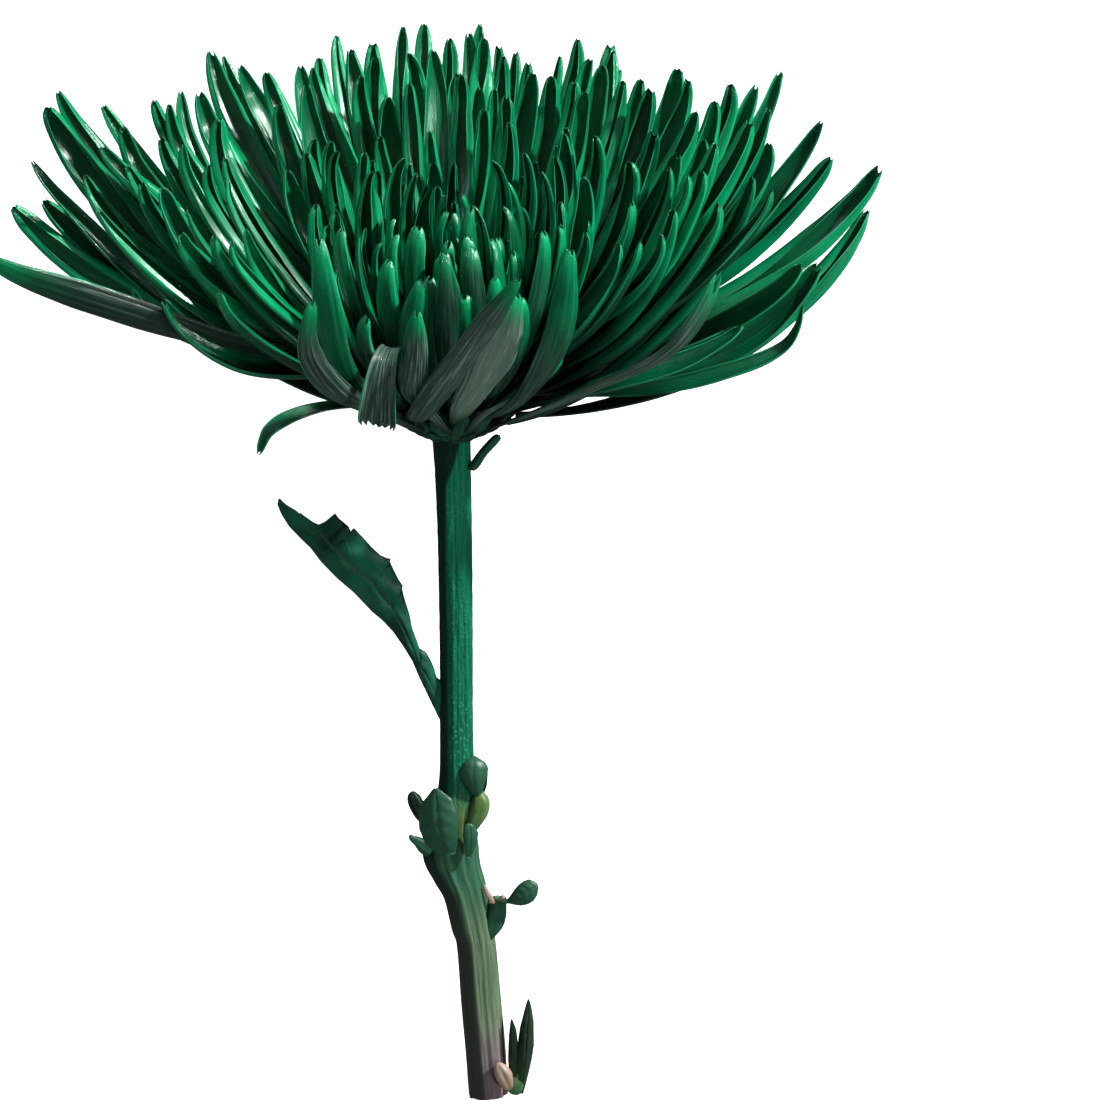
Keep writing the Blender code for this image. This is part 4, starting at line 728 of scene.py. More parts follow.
def floret_paint(name, grey):
    """Dyed floret: painted shade makes it dark at the root, on the outer face and inside the channel; painted light
    makes the tip bright, with painted highlights on the rims and glints at the tip; grey-green and streaked on the back
    of outer ones.
    """
    p = Paint(name)
    u, v, side = p.read("surface")[:3]
    tone, under, seed = p.read("tone")[:3]
    edge = p.math("ABSOLUTE", u)
    shift = p.math("MULTIPLY", seed, 37.0)
    long_ = p.place(p.math("MULTIPLY", u, 3.2), p.math("MULTIPLY", v, 0.9), shift)
    streak = p.noise(long_, 3.0, 4.0, 0.62)
    fine = p.noise(p.place(p.math("MULTIPLY", u, 4.2), p.math("MULTIPLY", v, 1.5), shift), 3.2, 2.0, 0.6)
    patch = p.noise(p.place(u, p.math("MULTIPLY", v, 5.0), shift), 1.3, 2.0, 0.5)
    level = p.math("ADD", tone, p.fit(patch, 0.3, 0.7, -0.22, 0.22))
    level = p.math("ADD", level, p.fit(streak, 0.3, 0.7, -0.16, 0.16))
    green = p.mix(level, (0.0002, 0.115, 0.042), (0.0004, 0.47, 0.180))
    # painted shade: below the middle the green runs to near-black towards the root, where the florets crowd and shade
    # each other
    root = p.fit(v, 0.25, 0.74)
    green = p.mix(root, (0.0004, 0.016, 0.008), green)
    tip = p.fit(v, 0.86, 0.99)
    fold = p.value("fold")
    outside = p.fit(fold, 0.46, 0.53, 1.0, 0.0)
    fold_highlight = p.fit(p.math("ABSOLUTE", p.math("SUBTRACT", fold, 0.5)), 0.005, 0.035, 1.0, 0.0)
    # painted light: the tip is mixed towards a bright green
    green = p.mix(p.math("MULTIPLY", tip, 0.45), green, (0.001, 0.46, 0.165))
    # painted highlight: a bright line along the rims and the fold line between outer and inner faces, stronger towards
    # the tip
    rim = p.math("MULTIPLY", p.math("MAXIMUM", p.fit(edge, 0.94, 0.99), fold_highlight), p.fit(v, 0.35, 0.90, 0.15, 0.85))
    back = p.math("SUBTRACT", 1.0, side, clamp=True)
    greyed = p.mix(p.fit(fine, 0.30, 0.72), (0.019, 0.052, 0.038) if grey else (0.003, 0.018, 0.011), (0.082, 0.165, 0.122) if grey else (0.016, 0.062, 0.042))
    pale = p.math("MULTIPLY", p.fit(fine, 0.55, 0.68), 0.75 if grey else 0.10)
    greyed = p.mix(pale, greyed, (0.23, 0.36, 0.30))
    wide = outside
    low = p.math("MULTIPLY", p.fit(p.math("ADD", v, p.math("MULTIPLY", seed, -0.30)), 0.46, 0.78, 1.0, 0.0), p.fit(under, 1.6, 1.8, 1.0, 0.0))
    long_grey = p.math("MULTIPLY", p.math("MULTIPLY", p.fit(under, 1.0, 1.5, smooth=False), p.fit(under, 1.6, 1.8, 1.0, 0.0)), p.fit(v, 0.74, 0.95, 1.0, 0.0))
    flap = p.math("MULTIPLY", p.fit(under, 1.6, 1.9, smooth=False), p.math("MULTIPLY", p.fit(v, 0.50, 0.64), p.fit(u, 0.70, 0.90, 1.0, 0.0)))
    low = p.math("MAXIMUM", p.math("MAXIMUM", low, long_grey), flap)
    share = p.math("MULTIPLY", p.math("MULTIPLY", under, back), p.math("MULTIPLY", wide, low))
    share = p.math("MULTIPLY", share, p.fit(patch, 0.25, 0.6, 0.75, 1.15), clamp=True)
    # the grey runs to near-black for low tone and, on grey florets, pales for high tone; tone holds painted light and
    # shade by place besides its random part
    greyed = p.mix(p.fit(tone, 0.0, 0.30, 0.80, 0.0), greyed, (0.004, 0.014, 0.010))
    greyed = p.mix(p.fit(tone, 0.70, 1.0, 0.0, 0.45 if grey else 0.0), greyed, (0.24, 0.37, 0.28))
    # painted shade: the grey also runs to near-black at the root
    greyed = p.mix(p.fit(v, 0.02, 0.20, 0.85, 0.0), greyed, (0.004, 0.016, 0.010))
    # painted shade: the outer face darkens to near-black green, except near the tip
    shaded = p.mix(p.math("MULTIPLY", outside, p.fit(v, 0.80, 0.98, 0.50, 0.0)), green, (0.0004, 0.030, 0.014))
    colour = p.mix(share, shaded, greyed)
    # inner skin: a darker green of its own, darkened further as painted shade inside the channel, and painted shade to
    # near-black at the root
    inner_skin_and_shade = p.mix(level, (0.0002, 0.048, 0.018), (0.0006, 0.19, 0.068))
    inner_skin_and_shade = p.mix(root, (0.0005, 0.012, 0.007), inner_skin_and_shade)
    colour = p.mix(p.math("MULTIPLY", side, 0.85), colour, inner_skin_and_shade)
    # painted highlight in bright green along the rims and the fold line
    colour = p.mix(rim, colour, p.mix(p.fit(v, 0.5, 0.9), (0.025, 0.22, 0.105), (0.040, 0.54, 0.265)))
    # painted highlight: pale mint glints in specks at the very tip
    crumbs = p.noise(p.place(p.math("MULTIPLY", u, 6.0), p.math("MULTIPLY", v, 60.0), shift), 2.0, 1.0, 0.5)
    painted_glint = p.math("MULTIPLY", p.fit(crumbs, 0.58, 0.68), p.fit(v, 0.955, 0.995, 0.0, 0.6))
    colour = p.mix(painted_glint, colour, (0.42, 0.80, 0.66))
    gloss = p.fit(fine, 0.25, 0.75, 0.16, 0.32)
    gloss = p.math("ADD", gloss, p.math("MULTIPLY", share, 0.22))
    grains = p.noise(p.place(p.math("MULTIPLY", u, 4.5), p.math("MULTIPLY", v, 34.0), shift), 2.4, 1.0, 0.5)
    rough_tip = p.math("MULTIPLY", p.math("MULTIPLY", grains, tip), 0.9)
    p.bump(p.math("ADD", p.math("ADD", p.math("MULTIPLY", fine, 0.55), p.math("MULTIPLY", streak, 0.7)), rough_tip), 0.55 if grey else 0.34, 0.00028)
    return p.done(colour, gloss, Specular_IOR_Level=0.5, Coat_Weight=0.50, Coat_Roughness=0.06)


def stem_paint():
    """Ribbed stem: dyed green above, with painted light just below the head; sage with a violet flush lower down, and
    painted shade on a dark flank towards the cut.
    """
    p = Paint("stem_skin_look")
    u, v, cap = p.read("surface")[:3]
    tone, shaded_flank, seed = p.read("tone")[:3]
    xyz = p.where()
    split = p.tree.nodes.new("ShaderNodeSeparateXYZ")
    p.tree.links.new(xyz, split.inputs[0])
    x, y, z = split.outputs[:3]
    along = p.noise(p.place(p.math("MULTIPLY", u, 14.0), p.math("MULTIPLY", v, 7.0), 0.3), 2.2, 4.0, 0.6)
    blotch = p.noise(xyz, 130.0, 3.0, 0.5)
    warts = p.cells(xyz, 1500.0)
    wart = p.fit(warts, 0.10, 0.46, 1.0, 0.0)
    top = p.mix(p.fit(along, 0.3, 0.7), (0.0005, 0.080, 0.038), (0.002, 0.205, 0.095))
    # painted light: brighter green just below the head, where the head shades the stem
    top = p.mix(p.fit(v, 0.06, 0.34, 0.35, 0.0), top, p.mix(p.fit(along, 0.3, 0.7), (0.001, 0.26, 0.125), (0.003, 0.52, 0.25)))
    top = p.mix(p.math("MULTIPLY", p.math("MULTIPLY", wart, p.fit(blotch, 0.42, 0.62)), 0.55), top, (0.06, 0.36, 0.22))
    mid = p.mix(p.fit(along, 0.3, 0.7), (0.018, 0.100, 0.056), (0.055, 0.180, 0.095))
    sage = p.mix(p.fit(along, 0.3, 0.7), (0.072, 0.125, 0.068), (0.165, 0.245, 0.145))
    violet = p.mix(p.fit(along, 0.35, 0.65), (0.125, 0.095, 0.108), (0.240, 0.170, 0.195))
    colour = p.mix(p.fit(v, 0.50, 0.60), top, mid)
    colour = p.mix(p.fit(v, 0.66, 0.78), colour, sage)
    flush = p.math("MULTIPLY", p.fit(v, 0.86, 0.95), p.fit(blotch, 0.30, 0.60, 0.45, 1.0))
    colour = p.mix(flush, colour, violet)
    swell = p.math("MULTIPLY", p.fit(p.math("ABSOLUTE", p.math("SUBTRACT", v, 0.585)), 0.0, 0.045, 1.0, 0.0), 0.7)
    colour = p.mix(swell, colour, (0.16, 0.24, 0.055))
    # painted shade: the shaded flank turns near-black above and dark grey-green lower down
    shade = p.mix(p.fit(v, 0.55, 0.85), (0.0014, 0.016, 0.011), (0.036, 0.046, 0.038))
    colour = p.mix(p.math("MULTIPLY", shaded_flank, 0.94), colour, shade)
    pith = p.mix(p.fit(cap, 0.35, 0.8), (0.10, 0.22, 0.09), (0.52, 0.56, 0.36))
    pith = p.mix(p.fit(p.noise(xyz, 900.0, 2.0), 0.4, 0.65, 0.0, 0.35), pith, (0.20, 0.24, 0.12))
    colour = p.mix(p.math("MULTIPLY", p.fit(cap, 0.02, 0.12), p.fit(v, 0.5, 0.6)), colour, pith)
    p.bump(p.math("ADD", p.math("MULTIPLY", wart, p.fit(v, 0.1, 0.7, 0.9, 0.25)), p.math("MULTIPLY", along, 0.8)), 0.5, 0.00016)
    return p.done(colour, p.fit(along, 0.3, 0.7, 0.34, 0.5), Specular_IOR_Level=0.5)


def leaf_paint(name, dark, light, rib, back, roughness=0.5):
    """Leaf skin: a paler rib and side veins, darker towards one edge."""
    p = Paint(name)
    u, v, side = p.read("surface")[:3]
    tone, under, seed = p.read("tone")[:3]
    edge = p.math("ABSOLUTE", u)
    xyz = p.where()
    patch = p.noise(xyz, 120.0, 4.0, 0.6)
    fine = p.noise(xyz, 1400.0, 3.0, 0.6)
    colour = p.mix(p.math("ADD", p.fit(patch, 0.33, 0.66), p.math("MULTIPLY", u, 0.25)), dark, light)
    wave = p.math("SINE", p.math("ADD", p.math("MULTIPLY", v, 34.6), p.math("MULTIPLY", edge, -6.9)))
    vein = p.math("MULTIPLY", p.fit(wave, 0.90, 1.0), p.fit(edge, 0.75, 0.95, 1.0, 0.0))
    midrib = p.fit(edge, 0.015, 0.09, 1.0, 0.0)
    lines = p.math("MAXIMUM", p.math("MULTIPLY", vein, 0.45), midrib)
    colour = p.mix(p.math("MULTIPLY", lines, 0.8), colour, rib)
    colour = p.mix(p.fit(edge, 0.93, 1.0, 0.0, 0.7), colour, dark)
    colour = p.mix(p.math("MULTIPLY", side, 0.8), colour, back)
    p.bump(p.math("ADD", p.math("MULTIPLY", lines, -0.8), p.math("MULTIPLY", fine, 0.35)), 0.45, 0.00022)
    return p.done(colour, p.fit(fine, 0.3, 0.7, roughness - 0.08, roughness + 0.1), Specular_IOR_Level=0.45)


def soft_paint(name, low, high, spot, roughness=0.45, grain=700.0, spots=0.3):
    """Young tissue: two tones that run into each other along the piece, and a third in patches."""
    p = Paint(name)
    u, v, side = p.read("surface")[:3]
    xyz = p.where()
    patch = p.noise(xyz, 260.0, 4.0, 0.6)
    fine = p.noise(xyz, grain, 3.0, 0.6)
    blend = p.math("ADD", p.fit(v, 0.0, 1.0, 0.0, 1.0, smooth=False), p.fit(patch, 0.3, 0.7, -0.3, 0.3))
    colour = p.mix(blend, low, high)
    colour = p.mix(p.math("MULTIPLY", p.fit(patch, 0.52, 0.68), spots), colour, spot)
    colour = p.mix(p.fit(fine, 0.35, 0.65, 0.0, 0.25), colour, low)
    p.bump(p.math("ADD", p.math("MULTIPLY", fine, 0.6), p.math("MULTIPLY", patch, 0.4)), 0.4, 0.00015)
    return p.done(colour, p.fit(fine, 0.3, 0.7, roughness - 0.07, roughness + 0.08), Specular_IOR_Level=0.5)


# ---------------------------------------------------------------- the stem
STEM = [  # x, y, depth, half-width, half-depth
    (451, 425, 0, 19, 19), (451, 440, 0, 19, 19), (452, 467, 0, 18, 18), (454, 541, 0, 17, 17), (455.5, 640, 0, 16.5, 17),
    (456, 720, 0, 16.5, 17), (456.5, 775, 0, 17.5, 18), (455, 805, 0, 21, 20), (451, 832, 0, 26, 22), (450, 852, 0, 28, 23),
    (456, 872, 0, 24, 22), (464, 892, 0, 21.5, 21), (471, 925, 0, 21, 20), (475, 945, 0, 19.5, 19.5), (480, 1006, 0, 20, 19.5),
    (484.5, 1055, 0, 20, 19.5), (487.5, 1098, 0, 19.5, 19.33),
]


def stem_corner():
    """Lowest corner of the stem's solid, as its rings give it."""
    p = np.array(STEM, float)
    c = place(*drawn(p[:, 0], p[:, 1], p[:, 2]))
    t = unit(np.gradient(c, axis=0))
    across = unit(np.cross(FRONT, t))
    deep = np.cross(t, across)
    a = 2 * math.pi * np.arange(14) / 14
    r = UNIT * (1 + 0.035 * np.cos(7 * a))
    ring = c[:, None] + across[:, None] * (p[:, 3, None] * r * np.cos(a))[..., None] + deep[:, None] * (p[:, 4, None] * r * np.sin(a))[..., None]
    return ring.reshape(-1, 3).min(0)


SHIFT = stem_corner() - np.array(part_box("stem")[0]) * 1000.0


def make_stem(skin):
    def lump(S, A, q):
        y = q[:, 1, None]
        ribs = 0.030 * np.cos(7 * A) + 0.018 * np.cos(13 * A + 1.0 + 2 * S) + 0.010 * np.cos(23 * A - 3 * S)
        ribs = ribs * np.interp(y, [425, 470, 1098], [0.5, 1.0, 1.25])
        knots = 0.030 * np.sin(31 * S + 2 * A) * np.exp(-(((y - 860) / 60) ** 2)) + 0.02 * np.sin(9 * S + A)
        warts = 0.010 * np.sin(190 * S + 3 * np.sin(5 * A)) * np.cos(9 * A + 40 * S) * np.clip((830 - y) / 200, 0, 1)
        return 1 + ribs + knots + warts
    rings, S, A, q = path_rings(STEM, 300, 96, lump)
    surface = np.stack([A / math.pi - 1, (q[:, 1, None] - 425) / 673 + 0 * A, 0 * A], -1)
    facing = np.cos(A - math.radians(0))  # 1 on the +X flank or its mirror, by how the ring runs
    # painted shade on the left flank of the stem, its reach across the stem set by y, carried in the tone attribute
    x = rings[..., 0] - rings[..., 0].mean(1, keepdims=True)
    left = -x / np.abs(x).max(1, keepdims=True)
    y = q[:, 1, None]
    reach = np.interp(y, [425, 462, 480, 560, 760, 860, 950, 1040, 1098], [-0.75, -0.15, 0.30, 0.42, 0.42, 0.35, 0.05, 0.0, -0.10])
    shaded_flank = np.clip((left - reach) / np.interp(y, [425, 760, 940, 1098], [0.16, 0.14, 0.34, 0.4]), 0, 1)
    shaded_flank = shaded_flank * shaded_flank * (3 - 2 * shaded_flank)
    tone = np.stack([0.5 + 0 * shaded_flank, shaded_flank, 0.3 + 0 * shaded_flank], -1)
    rows, cols = rings.shape[:2]
    ring_tone = tone.reshape(-1, 3)
    caps = np.concatenate([tone[0]] * 3 + [tone[-1] * np.array([1, 0.0, 1])] * 3)
    tube("stem_skin", rings, skin, "stem_skin", ["stem"], np.concatenate([ring_tone, caps]), True, surface)


# ---------------------------------------------------------------- leaves and buds beside the stem
LEAF_LOW = [  # lower edge of the leaf, from the stem to the tip
    (442, 726, 2), (430, 701, 9), (420, 680, 14), (412, 661, 18), (402, 645, 21), (393, 632, 23), (383, 621, 24), (372, 612, 25),
    (353, 592, 26), (337, 578.5, 25), (321, 562, 21), (310, 547.5, 17), (302, 540, 15), (289, 526.5, 9), (281, 514, 5), (277.3, 504.5, 2), (278.5, 499, 1),
]
LEAF_TOP = [  # toothed upper edge
    (444, 683, 3), (436, 677.5, 8), (433.5, 668, 11), (430.5, 661, 13), (425.5, 652, 15), (419, 648.5, 16), (416, 640, 17), (411.5, 628, 19),
    (409, 614.5, 20), (403.5, 597, 22), (401.6, 588.5, 24), (402.4, 585.5, 24), (398, 579, 24), (393, 569, 25), (389.6, 561.5, 26), (390.3, 558.6, 26), (386.5, 558, 26), (380, 555, 27),
    (372, 547.5, 28), (361, 535.5, 28), (354, 528, 28), (352.6, 529, 28), (350.6, 532, 27.5), (348.6, 526.5, 28), (345, 523.5, 27), (339, 518.5, 27), (335.8, 514.5, 26), (334.6, 512.3, 25),
    (333, 514.5, 25), (331.4, 516.5, 25), (326, 521, 23), (318.6, 524.6, 20), (313, 522, 18), (308.3, 518.7, 17), (301.5, 513.8, 14), (300.3, 511.8, 14), (299, 513.2, 13), (296.6, 511.0, 13), (294, 509.3, 12),
    (286, 504.7, 7), (281.5, 500.5, 3), (279, 498.3, 1),
]


def warped(low, top, count):
    """Both edges read at the same y-levels along the blade's own axis, so that the rows run straight across it."""
    a0 = (np.array(low[0][:2], float) + np.array(top[0][:2], float)) / 2
    a1 = (np.array(low[-1][:2], float) + np.array(top[-1][:2], float)) / 2
    axis = (a1 - a0) / np.linalg.norm(a1 - a0)
    def along(edge):
        e = np.array(edge, float)
        s = (e[:, :2] - a0) @ axis
        s = np.maximum.accumulate(s + np.arange(len(s)) * 1e-4)
        return (s - s[0]) / (s[-1] - s[0]), e
    (sl, el), (st, et) = along(low), along(top)
    s = np.unique(np.r_[np.linspace(0, 1, count), st])
    read = lambda t, e: np.stack([np.interp(s, t, e[:, k]) for k in range(3)], 1)
    return s, read(sl, el), read(st, et)


def leaf_blade(material):
    s, low, top = warped(LEAF_LOW, LEAF_TOP, 70)
    rows, cols = len(s), 23
    w = np.linspace(-1, 1, cols)
    share = (0.5 + 0.5 * w)[None, :, None]
    g = low[:, None] * (1 - share) + top[:, None] * share
    lift = np.interp(s, [0, 0.12, 0.4, 0.75, 1.0], [2, 4, 6.5, 4.5, 0])[:, None]
    mid = -0.15
    g[..., 2] += lift * (1 - w[None] ** 2)
    g[..., 2] -= 2.2 * np.exp(-(((w[None] - mid) / 0.10) ** 2)) * np.sin(math.pi * s)[:, None]
    g[..., 2] += 1.1 * np.cos(2 * math.pi * (5.5 * s[:, None] + 1.1 * np.abs(w[None] - mid))) * (1 - w[None] ** 4) * np.sin(math.pi * s)[:, None]
    p = place(*drawn(g[..., 0], g[..., 1], g[..., 2]))
    nrm = unit(np.cross(np.gradient(p, axis=1), np.gradient(p, axis=0)))
    sign = 1.0 if (nrm @ FRONT).mean() > 0 else -1.0
    nrm = nrm * sign
    thick = 0.34 * np.minimum(1, (1 - np.abs(w)) * 4 + 0.3)[None, :, None]
    surface = np.zeros((2, rows, cols, 3))
    surface[..., 0], surface[..., 1] = w - mid, s[:, None]
    surface[1, ..., 2] = 1
    faces = two_sided(rows, cols)
    if sign < 0:
        faces = faces[:, ::-1]
    mesh_object("leaf_blade", np.concatenate([(p + nrm * thick / 2).reshape(-1, 3), (p - nrm * thick / 2).reshape(-1, 3)]), faces, material, "leaf_blade", ["leaf"], surface.reshape(-1, 3), (0.5, 0, 0.2))


def pod(name, path, material, slot, nodes, rows=40, cols=32, ribs=5, rib=0.04, dent=0.0):
    def lump(S, A, q):
        close = np.sqrt(np.clip(1 - (2 * S - 1) ** 8, 0.0, 1)) * 0.98 + 0.02
        return close * (1 + rib * np.cos(ribs * A + 2 * S) + 0.02 * np.cos(11 * A - 5 * S) - dent * np.exp(-(((A - math.pi / 2) / 0.6) ** 2)) * np.sin(math.pi * S))
    rings, S, A, q = path_rings(path, rows, cols, lump)
    tube(name, rings, material, slot, nodes)


def small_parts(leafy, young, sage_bud, pink, dark_leaf):
    leaf_blade(leafy)
    green = young
    pod("side_stalk_skin", [(470, 470, 8, 4.6, 5), (476, 463, 8, 5, 5), (483, 453, 9, 4.6, 4.6), (492, 443, 10, 4.6, 4.5), (500, 435, 10, 4.6, 4.5)], green, "stem_skin", ["side_stalk"], rows=24, cols=24)
    # rounded bud bract with the swelling that carries it
    pod("side_bud_swelling", [(466, 836, 12, 5, 6), (471, 826, 13, 8, 8), (477, 814, 13, 10.5, 9), (480, 804, 13, 9.5, 9), (479, 796, 12, 6.5, 7), (478, 791, 12, 4.5, 5)], sage_bud, "bud_scales", ["side_bud"], rib=0.05)
    sheet("side_bud_bract", [(474, 797, 13), (466, 789, 15), (460, 781, 15), (457.5, 773, 14), (461, 764.5, 12), (468, 759.5, 10), (474, 758, 9)],
          [(480, 797, 13), (483.5, 788, 14), (486, 779, 15), (488, 769, 14), (485, 763.5, 13), (479.5, 760.5, 11), (474.5, 758, 9)],
          [3, 6, 8, 9, 8, 5, 1], 34, 21, 0.5, young, "bud_scales", ["side_bud"], (0.5, 0, 0.4), crease=0.8)
    sheet("side_bud_bract_back", [(476, 797, 9), (472, 787, 8), (471, 776, 7), (475, 766, 6), (481, 762, 6)],
          [(483, 797, 9), (486.5, 786, 9), (487.5, 774, 8), (486.5, 766, 7), (482, 762, 6)],
          [-1, -3, -4, -3, 0], 26, 15, 0.45, dark_leaf, "bud_scales", ["side_bud"], (0.5, 0, 0.1))
    sheet("node_bract_large_blade", [(437, 856, 27), (425, 845, 25), (419, 830, 23), (418, 815, 22), (423, 802, 23), (431, 793, 25), (435, 790, 27)],
          [(455, 854, 27), (457, 842, 29), (458, 828, 31), (457, 813, 32), (452, 800, 31), (441, 792, 28), (435.5, 790, 27)],
          [3, 7, 9, 9, 6, 3, 1], 44, 25, 0.6, young, "young_leaf", ["node_bract_large"], (0.5, 0, 0.6), crease=1.2, ripple=0.3)
    pod("node_bract_dark_lobe", [(424, 824, 4, 4, 4), (420, 815, 6, 6.5, 5), (416, 806, 7, 7.5, 5.2), (413, 798, 7.5, 6.2, 4.4), (412.5, 792, 8, 3.2, 3)], dark_leaf, "young_leaf", ["node_bract_dark"], rib=0.08)
    pod("node_bract_hooked_tip", [(432, 853, 14, 8, 6), (424, 848, 14, 7.6, 5.6), (417, 843, 14, 5.2, 4.4), (412, 840, 14, 3.6, 3.2), (409, 836, 14, 2.2, 2.2)], young, "young_leaf", ["node_bract_hooked"], rib=0.07)
    sheet("node_bract_small_blade", [(466, 858, 27), (464, 848, 28), (462.5, 836, 29), (463.5, 828, 29), (467, 824.5, 28)],
          [(470, 859, 26), (476, 846, 24), (478, 834, 24), (474, 826.5, 26), (467.5, 824.5, 28)],
          [0, 2, 3, 2, 0], 28, 17, 0.45, young, "young_leaf", ["node_bract_small"], (0.5, 0, 0.8), crease=0.8)
    # cup in the axil, with the spoon-shaped leaflet beside it
    def cup_lump(S, A, q):
        return 1 + 0.05 * np.cos(5 * A + 1) - 0.10 * np.sin(math.pi * S) * np.exp(-(((A - math.pi / 2) / 0.5) ** 2))
    rings, S, A, q = path_rings([(484, 940, 5, 6.5, 7), (488, 934, 6, 8.6, 8), (493, 926, 6, 10.4, 9), (496, 917, 6, 10.2, 9), (498, 908, 6, 8.6, 8), (499.5, 901, 6, 7.0, 6.4)], 30, 36, cup_lump)
    mouth = [rings[-1].mean(0) + (rings[-1] - rings[-1].mean(0)) * k + AXIS * (h * UNIT) for k, h in ((1.03, 1.2), (0.90, 1.5), (0.74, 0.2), (0.62, -4.0), (0.45, -8.0))]
    tube("axil_cup_skin", np.concatenate([rings, np.array(mouth)]), young, "young_leaf", ["axil_cup"])
    pod("axil_scar", [(494, 906, 12, 2.2, 2), (490, 900, 12, 2.6, 2.4), (486, 893, 12, 2.4, 2.2), (484, 886, 12, 1.6, 1.6)], pink, "young_leaf", ["axil_cup"], rows=18, cols=16, rib=0.12)
    pod("axil_knob", [(499, 904, 12, 2.2, 2), (502.5, 900, 13, 2.8, 2.6), (504.5, 897.5, 13, 2.2, 2)], pink, "young_leaf", ["axil_cup"], rows=16, cols=16, rib=0.1)
    pod("spoon_stalk", [(499, 905, 15, 2.3, 2.3), (504, 903.5, 16, 2.5, 2.4), (509, 903, 16, 2.5, 2.2), (513, 902, 16, 2.2, 2)], young, "young_leaf", ["spoon_leaflet"], rows=16, cols=16)
    sheet("spoon_blade", [(508, 904.5, 16), (514, 906.5, 16), (521, 907.4, 16.5), (528, 906, 17), (533.5, 902.5, 17), (537, 897, 17), (537.6, 891.5, 17), (536.8, 887.5, 17)],
          [(508, 901, 16), (511, 896.5, 16), (514.5, 891, 16.5), (519, 886, 17), (524, 882.4, 17), (529, 881, 17), (533.5, 882.6, 17), (536.6, 886.6, 17)],
          [1, 3, 4.5, 5, 4.5, 3, 1], 40, 23, 0.42, young, "young_leaf", ["spoon_leaflet"], (0.5, 0, 0.5), crease=0.9, ripple=0.2)
    # two-lobed leaflet near the cut end
    sheet("lobed_leaflet_blade", [(512, 1097, 10), (509, 1080, 12), (507.8, 1062, 13), (508.6, 1040, 13), (510, 1026, 13), (511.2, 1021.7, 13)],
          [(517, 1097, 10), (518.5, 1080, 13), (518, 1062, 14), (517.6, 1046, 14), (516, 1032, 13.5), (511.8, 1021.7, 13)],
          [1, 2, 2, 2, 1, 0], 46, 15, 0.45, dark_leaf, "leaf_blade", ["lobed_leaflet"], (0.5, 0, 0.1), crease=0.3)
    sheet("lobed_leaflet_main", [(515.5, 1097, 11), (517.5, 1078, 13), (517.6, 1060, 14), (518, 1044, 14), (520, 1030, 13.5), (524, 1015, 12.5), (528, 1001.8, 11)],
          [(523, 1097, 10), (527.8, 1078, 12), (531.5, 1063, 13), (533.7, 1048, 13), (533.4, 1024, 12.5), (531, 1010, 12), (528.6, 1001.6, 11)],
          [1, 3, 4, 4, 3, 2, 0], 56, 19, 0.5, dark_leaf, "leaf_blade", ["lobed_leaflet"], (0.5, 0, 0.3), crease=0.8)
    pod("lobed_leaflet_base", [(512, 1098, 8, 6, 5), (514, 1093, 9, 8.5, 6.5), (516, 1086, 10, 9.5, 6.5), (518, 1078, 11, 8, 5), (519.5, 1070, 12, 4.5, 3)], sage_bud, "leaf_blade", ["lobed_leaflet"], rows=26, cols=26, rib=0.06)
    pod("pale_bud_scale", [(509, 1094, 20, 4, 4), (506.5, 1087, 22, 7, 6), (503.5, 1079, 23, 8.4, 7), (499.5, 1071.5, 23, 6.5, 6), (497, 1066, 23, 3, 3)], pink, "bud_scales", ["pale_bud"], rib=0.07, dent=0.2)


